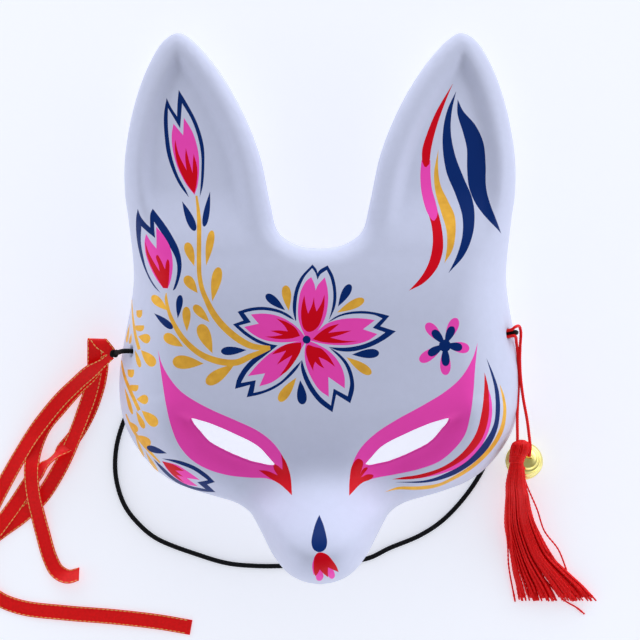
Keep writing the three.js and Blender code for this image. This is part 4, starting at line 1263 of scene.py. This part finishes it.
def hanging_thread(rows, locks):
    """One thread of the skirt, drawn towards the lock nearest to it as it falls."""
    spot = spot_in_disc()
    lock = locks[np.argmin(np.hypot(*(locks - spot).T))]
    last = len(rows) - random.choice((0, 0, 1, 1, 2, 3))
    x, y, z, wide, high = rows[:last].T
    gathered = TASSEL_GATHERED * smoothstep(TASSEL_GATHERED_FROM, len(rows), np.arange(last))
    side = spot[0] + (lock[0] - spot[0]) * gathered
    rise = spot[1] + (lock[1] - spot[1]) * gathered
    line = np.stack([x + wide * side, y, np.maximum(TASSEL_FLOOR, z + high * rise)], axis=1)
    line = spaced(smooth(line, 4), THREAD_STEP)
    return tube(line, thread_radii(line))


def build_tassel(material):
    """A head of folded threads, bound below, and a skirt of loose twisted threads."""
    rows = spaced(smooth(TASSEL_ROWS, 8), TASSEL_ROW_STEP)
    locks = np.array([spot_in_disc() for _ in range(TASSEL_LOCKS)])
    parts = [hanging_thread(rows, locks) for _ in range(TASSEL_THREADS)]
    for route in STRAY_THREADS:
        line = spaced(smooth(route, 8), THREAD_STEP)
        parts.append(tube(line, thread_radii(line)))
    turn = np.linspace(0, 2 * math.pi, 32)
    for x, y, wide in NECK_ROWS:
        ring = np.stack([x + wide * np.cos(turn), y + NECK_TILT * np.cos(turn),
                         NECK_HEIGHT + wide * np.sin(turn)], axis=1)
        parts.append(tube(ring, np.full((len(turn), 8), NECK_THREAD_RADIUS)))
    tassel = make_object("tassel_threads", *joined(parts), [material])
    place_piece(tassel, "red_thread", "tassel")
    return tassel


def build_red_cord(material, hung):
    """The twisted cord that the bell and tassel hang on."""
    path = laid(CORD_ROUTE, CORD_FLOOR, CORD_STEP)
    cord = tube(path, twisted_radii(path, CORD_DIAMETER / 2))
    piece = make_object("red_cord", *cord, [material])
    place_piece(piece, "red_thread", "tassel_cord")


def math_node(tree, operation, *values):
    """The result of one operation on numbers or other nodes' values."""
    node = tree.nodes.new("ShaderNodeMath")
    node.operation = operation
    for socket, value in zip(node.inputs, values):
        if isinstance(value, (int, float)):
            socket.default_value = value
        else:
            tree.links.new(value, socket)
    return node.outputs[0]


def sky_strength(tree):
    """Bright low down, most so beyond the ears, and dim overhead."""
    place = tree.nodes.new("ShaderNodeTexCoord")
    split = tree.nodes.new("ShaderNodeSeparateXYZ")
    tree.links.new(place.outputs["Generated"], split.inputs["Vector"])
    level = math_node(tree, "SUBTRACT", 1, math_node(tree, "ABSOLUTE", split.outputs["Z"]))
    low = math_node(tree, "POWER", level, SKY_FALL)
    ahead = tree.nodes.new("ShaderNodeVectorMath")
    ahead.operation = "DOT_PRODUCT"
    ahead.inputs[1].default_value = SKY_AHEAD_TO
    tree.links.new(place.outputs["Generated"], ahead.inputs[0])
    spread = tree.nodes.new("ShaderNodeMapRange")
    spread.interpolation_type = "SMOOTHSTEP"
    spread.inputs["To Max"].default_value = SKY_AHEAD
    tree.links.new(ahead.outputs["Value"], spread.inputs["Value"])
    sides = math_node(tree, "MULTIPLY", math_node(tree, "ADD", spread.outputs["Result"], SKY_LOW), low)
    return math_node(tree, "ADD", sides, SKY_HIGH)


def add_stage():
    """A pale floor and the light round it."""
    reach = 4000
    pale = principled("floor", (0.78, 0.79, 0.82), 0.8, Emission_Color=(0.9, 0.92, 1, 1),
                      Emission_Strength=FLOOR_GLOW)[0]
    corners = [(-reach, -reach, 0), (reach, -reach, 0), (reach, reach, 0), (-reach, reach, 0)]
    make_object("floor", corners, [(0, 1, 2, 3)], [pale])
    world = bpy.data.worlds.new("surround")
    world.use_nodes = True
    bpy.context.scene.world = world
    background = world.node_tree.nodes["Background"]
    background.inputs["Color"].default_value = (0.9, 0.93, 1, 1)
    world.node_tree.links.new(sky_strength(world.node_tree), background.inputs["Strength"])
    bpy.context.scene.view_settings.view_transform = "Standard"


add_camera()
build_elastic(braid_material())
satin = [satin_material(), gold_thread_material()]
for number, rows in enumerate(RIBBON_ROUTES, 1):
    build_ribbon(number, rows, satin)
thread = thread_material()
build_red_cord(thread, [build_bell(bell_material()), build_tassel(thread)])

for paint_area in (paint_big_flower, paint_small_flower, paint_stems, paint_buds, paint_vine,
                   paint_eye_surrounds, paint_cheek_strokes, paint_right_ear, paint_nose):
    paint_area()
finish_shell([
    paint_material("white_paint", (0.65, 0.675, 0.83)), paint_material("pink_paint", (1, 0.075, 0.5)),
    paint_material("red_paint", (0.72, 0.0, 0.01)), paint_material("blue_paint", (0.0, 0.022, 0.15)),
    paint_material("gold_paint", (0.96, 0.48, 0.055), metallic=0.2, grain=0.12), plain_plastic()])
add_stage()
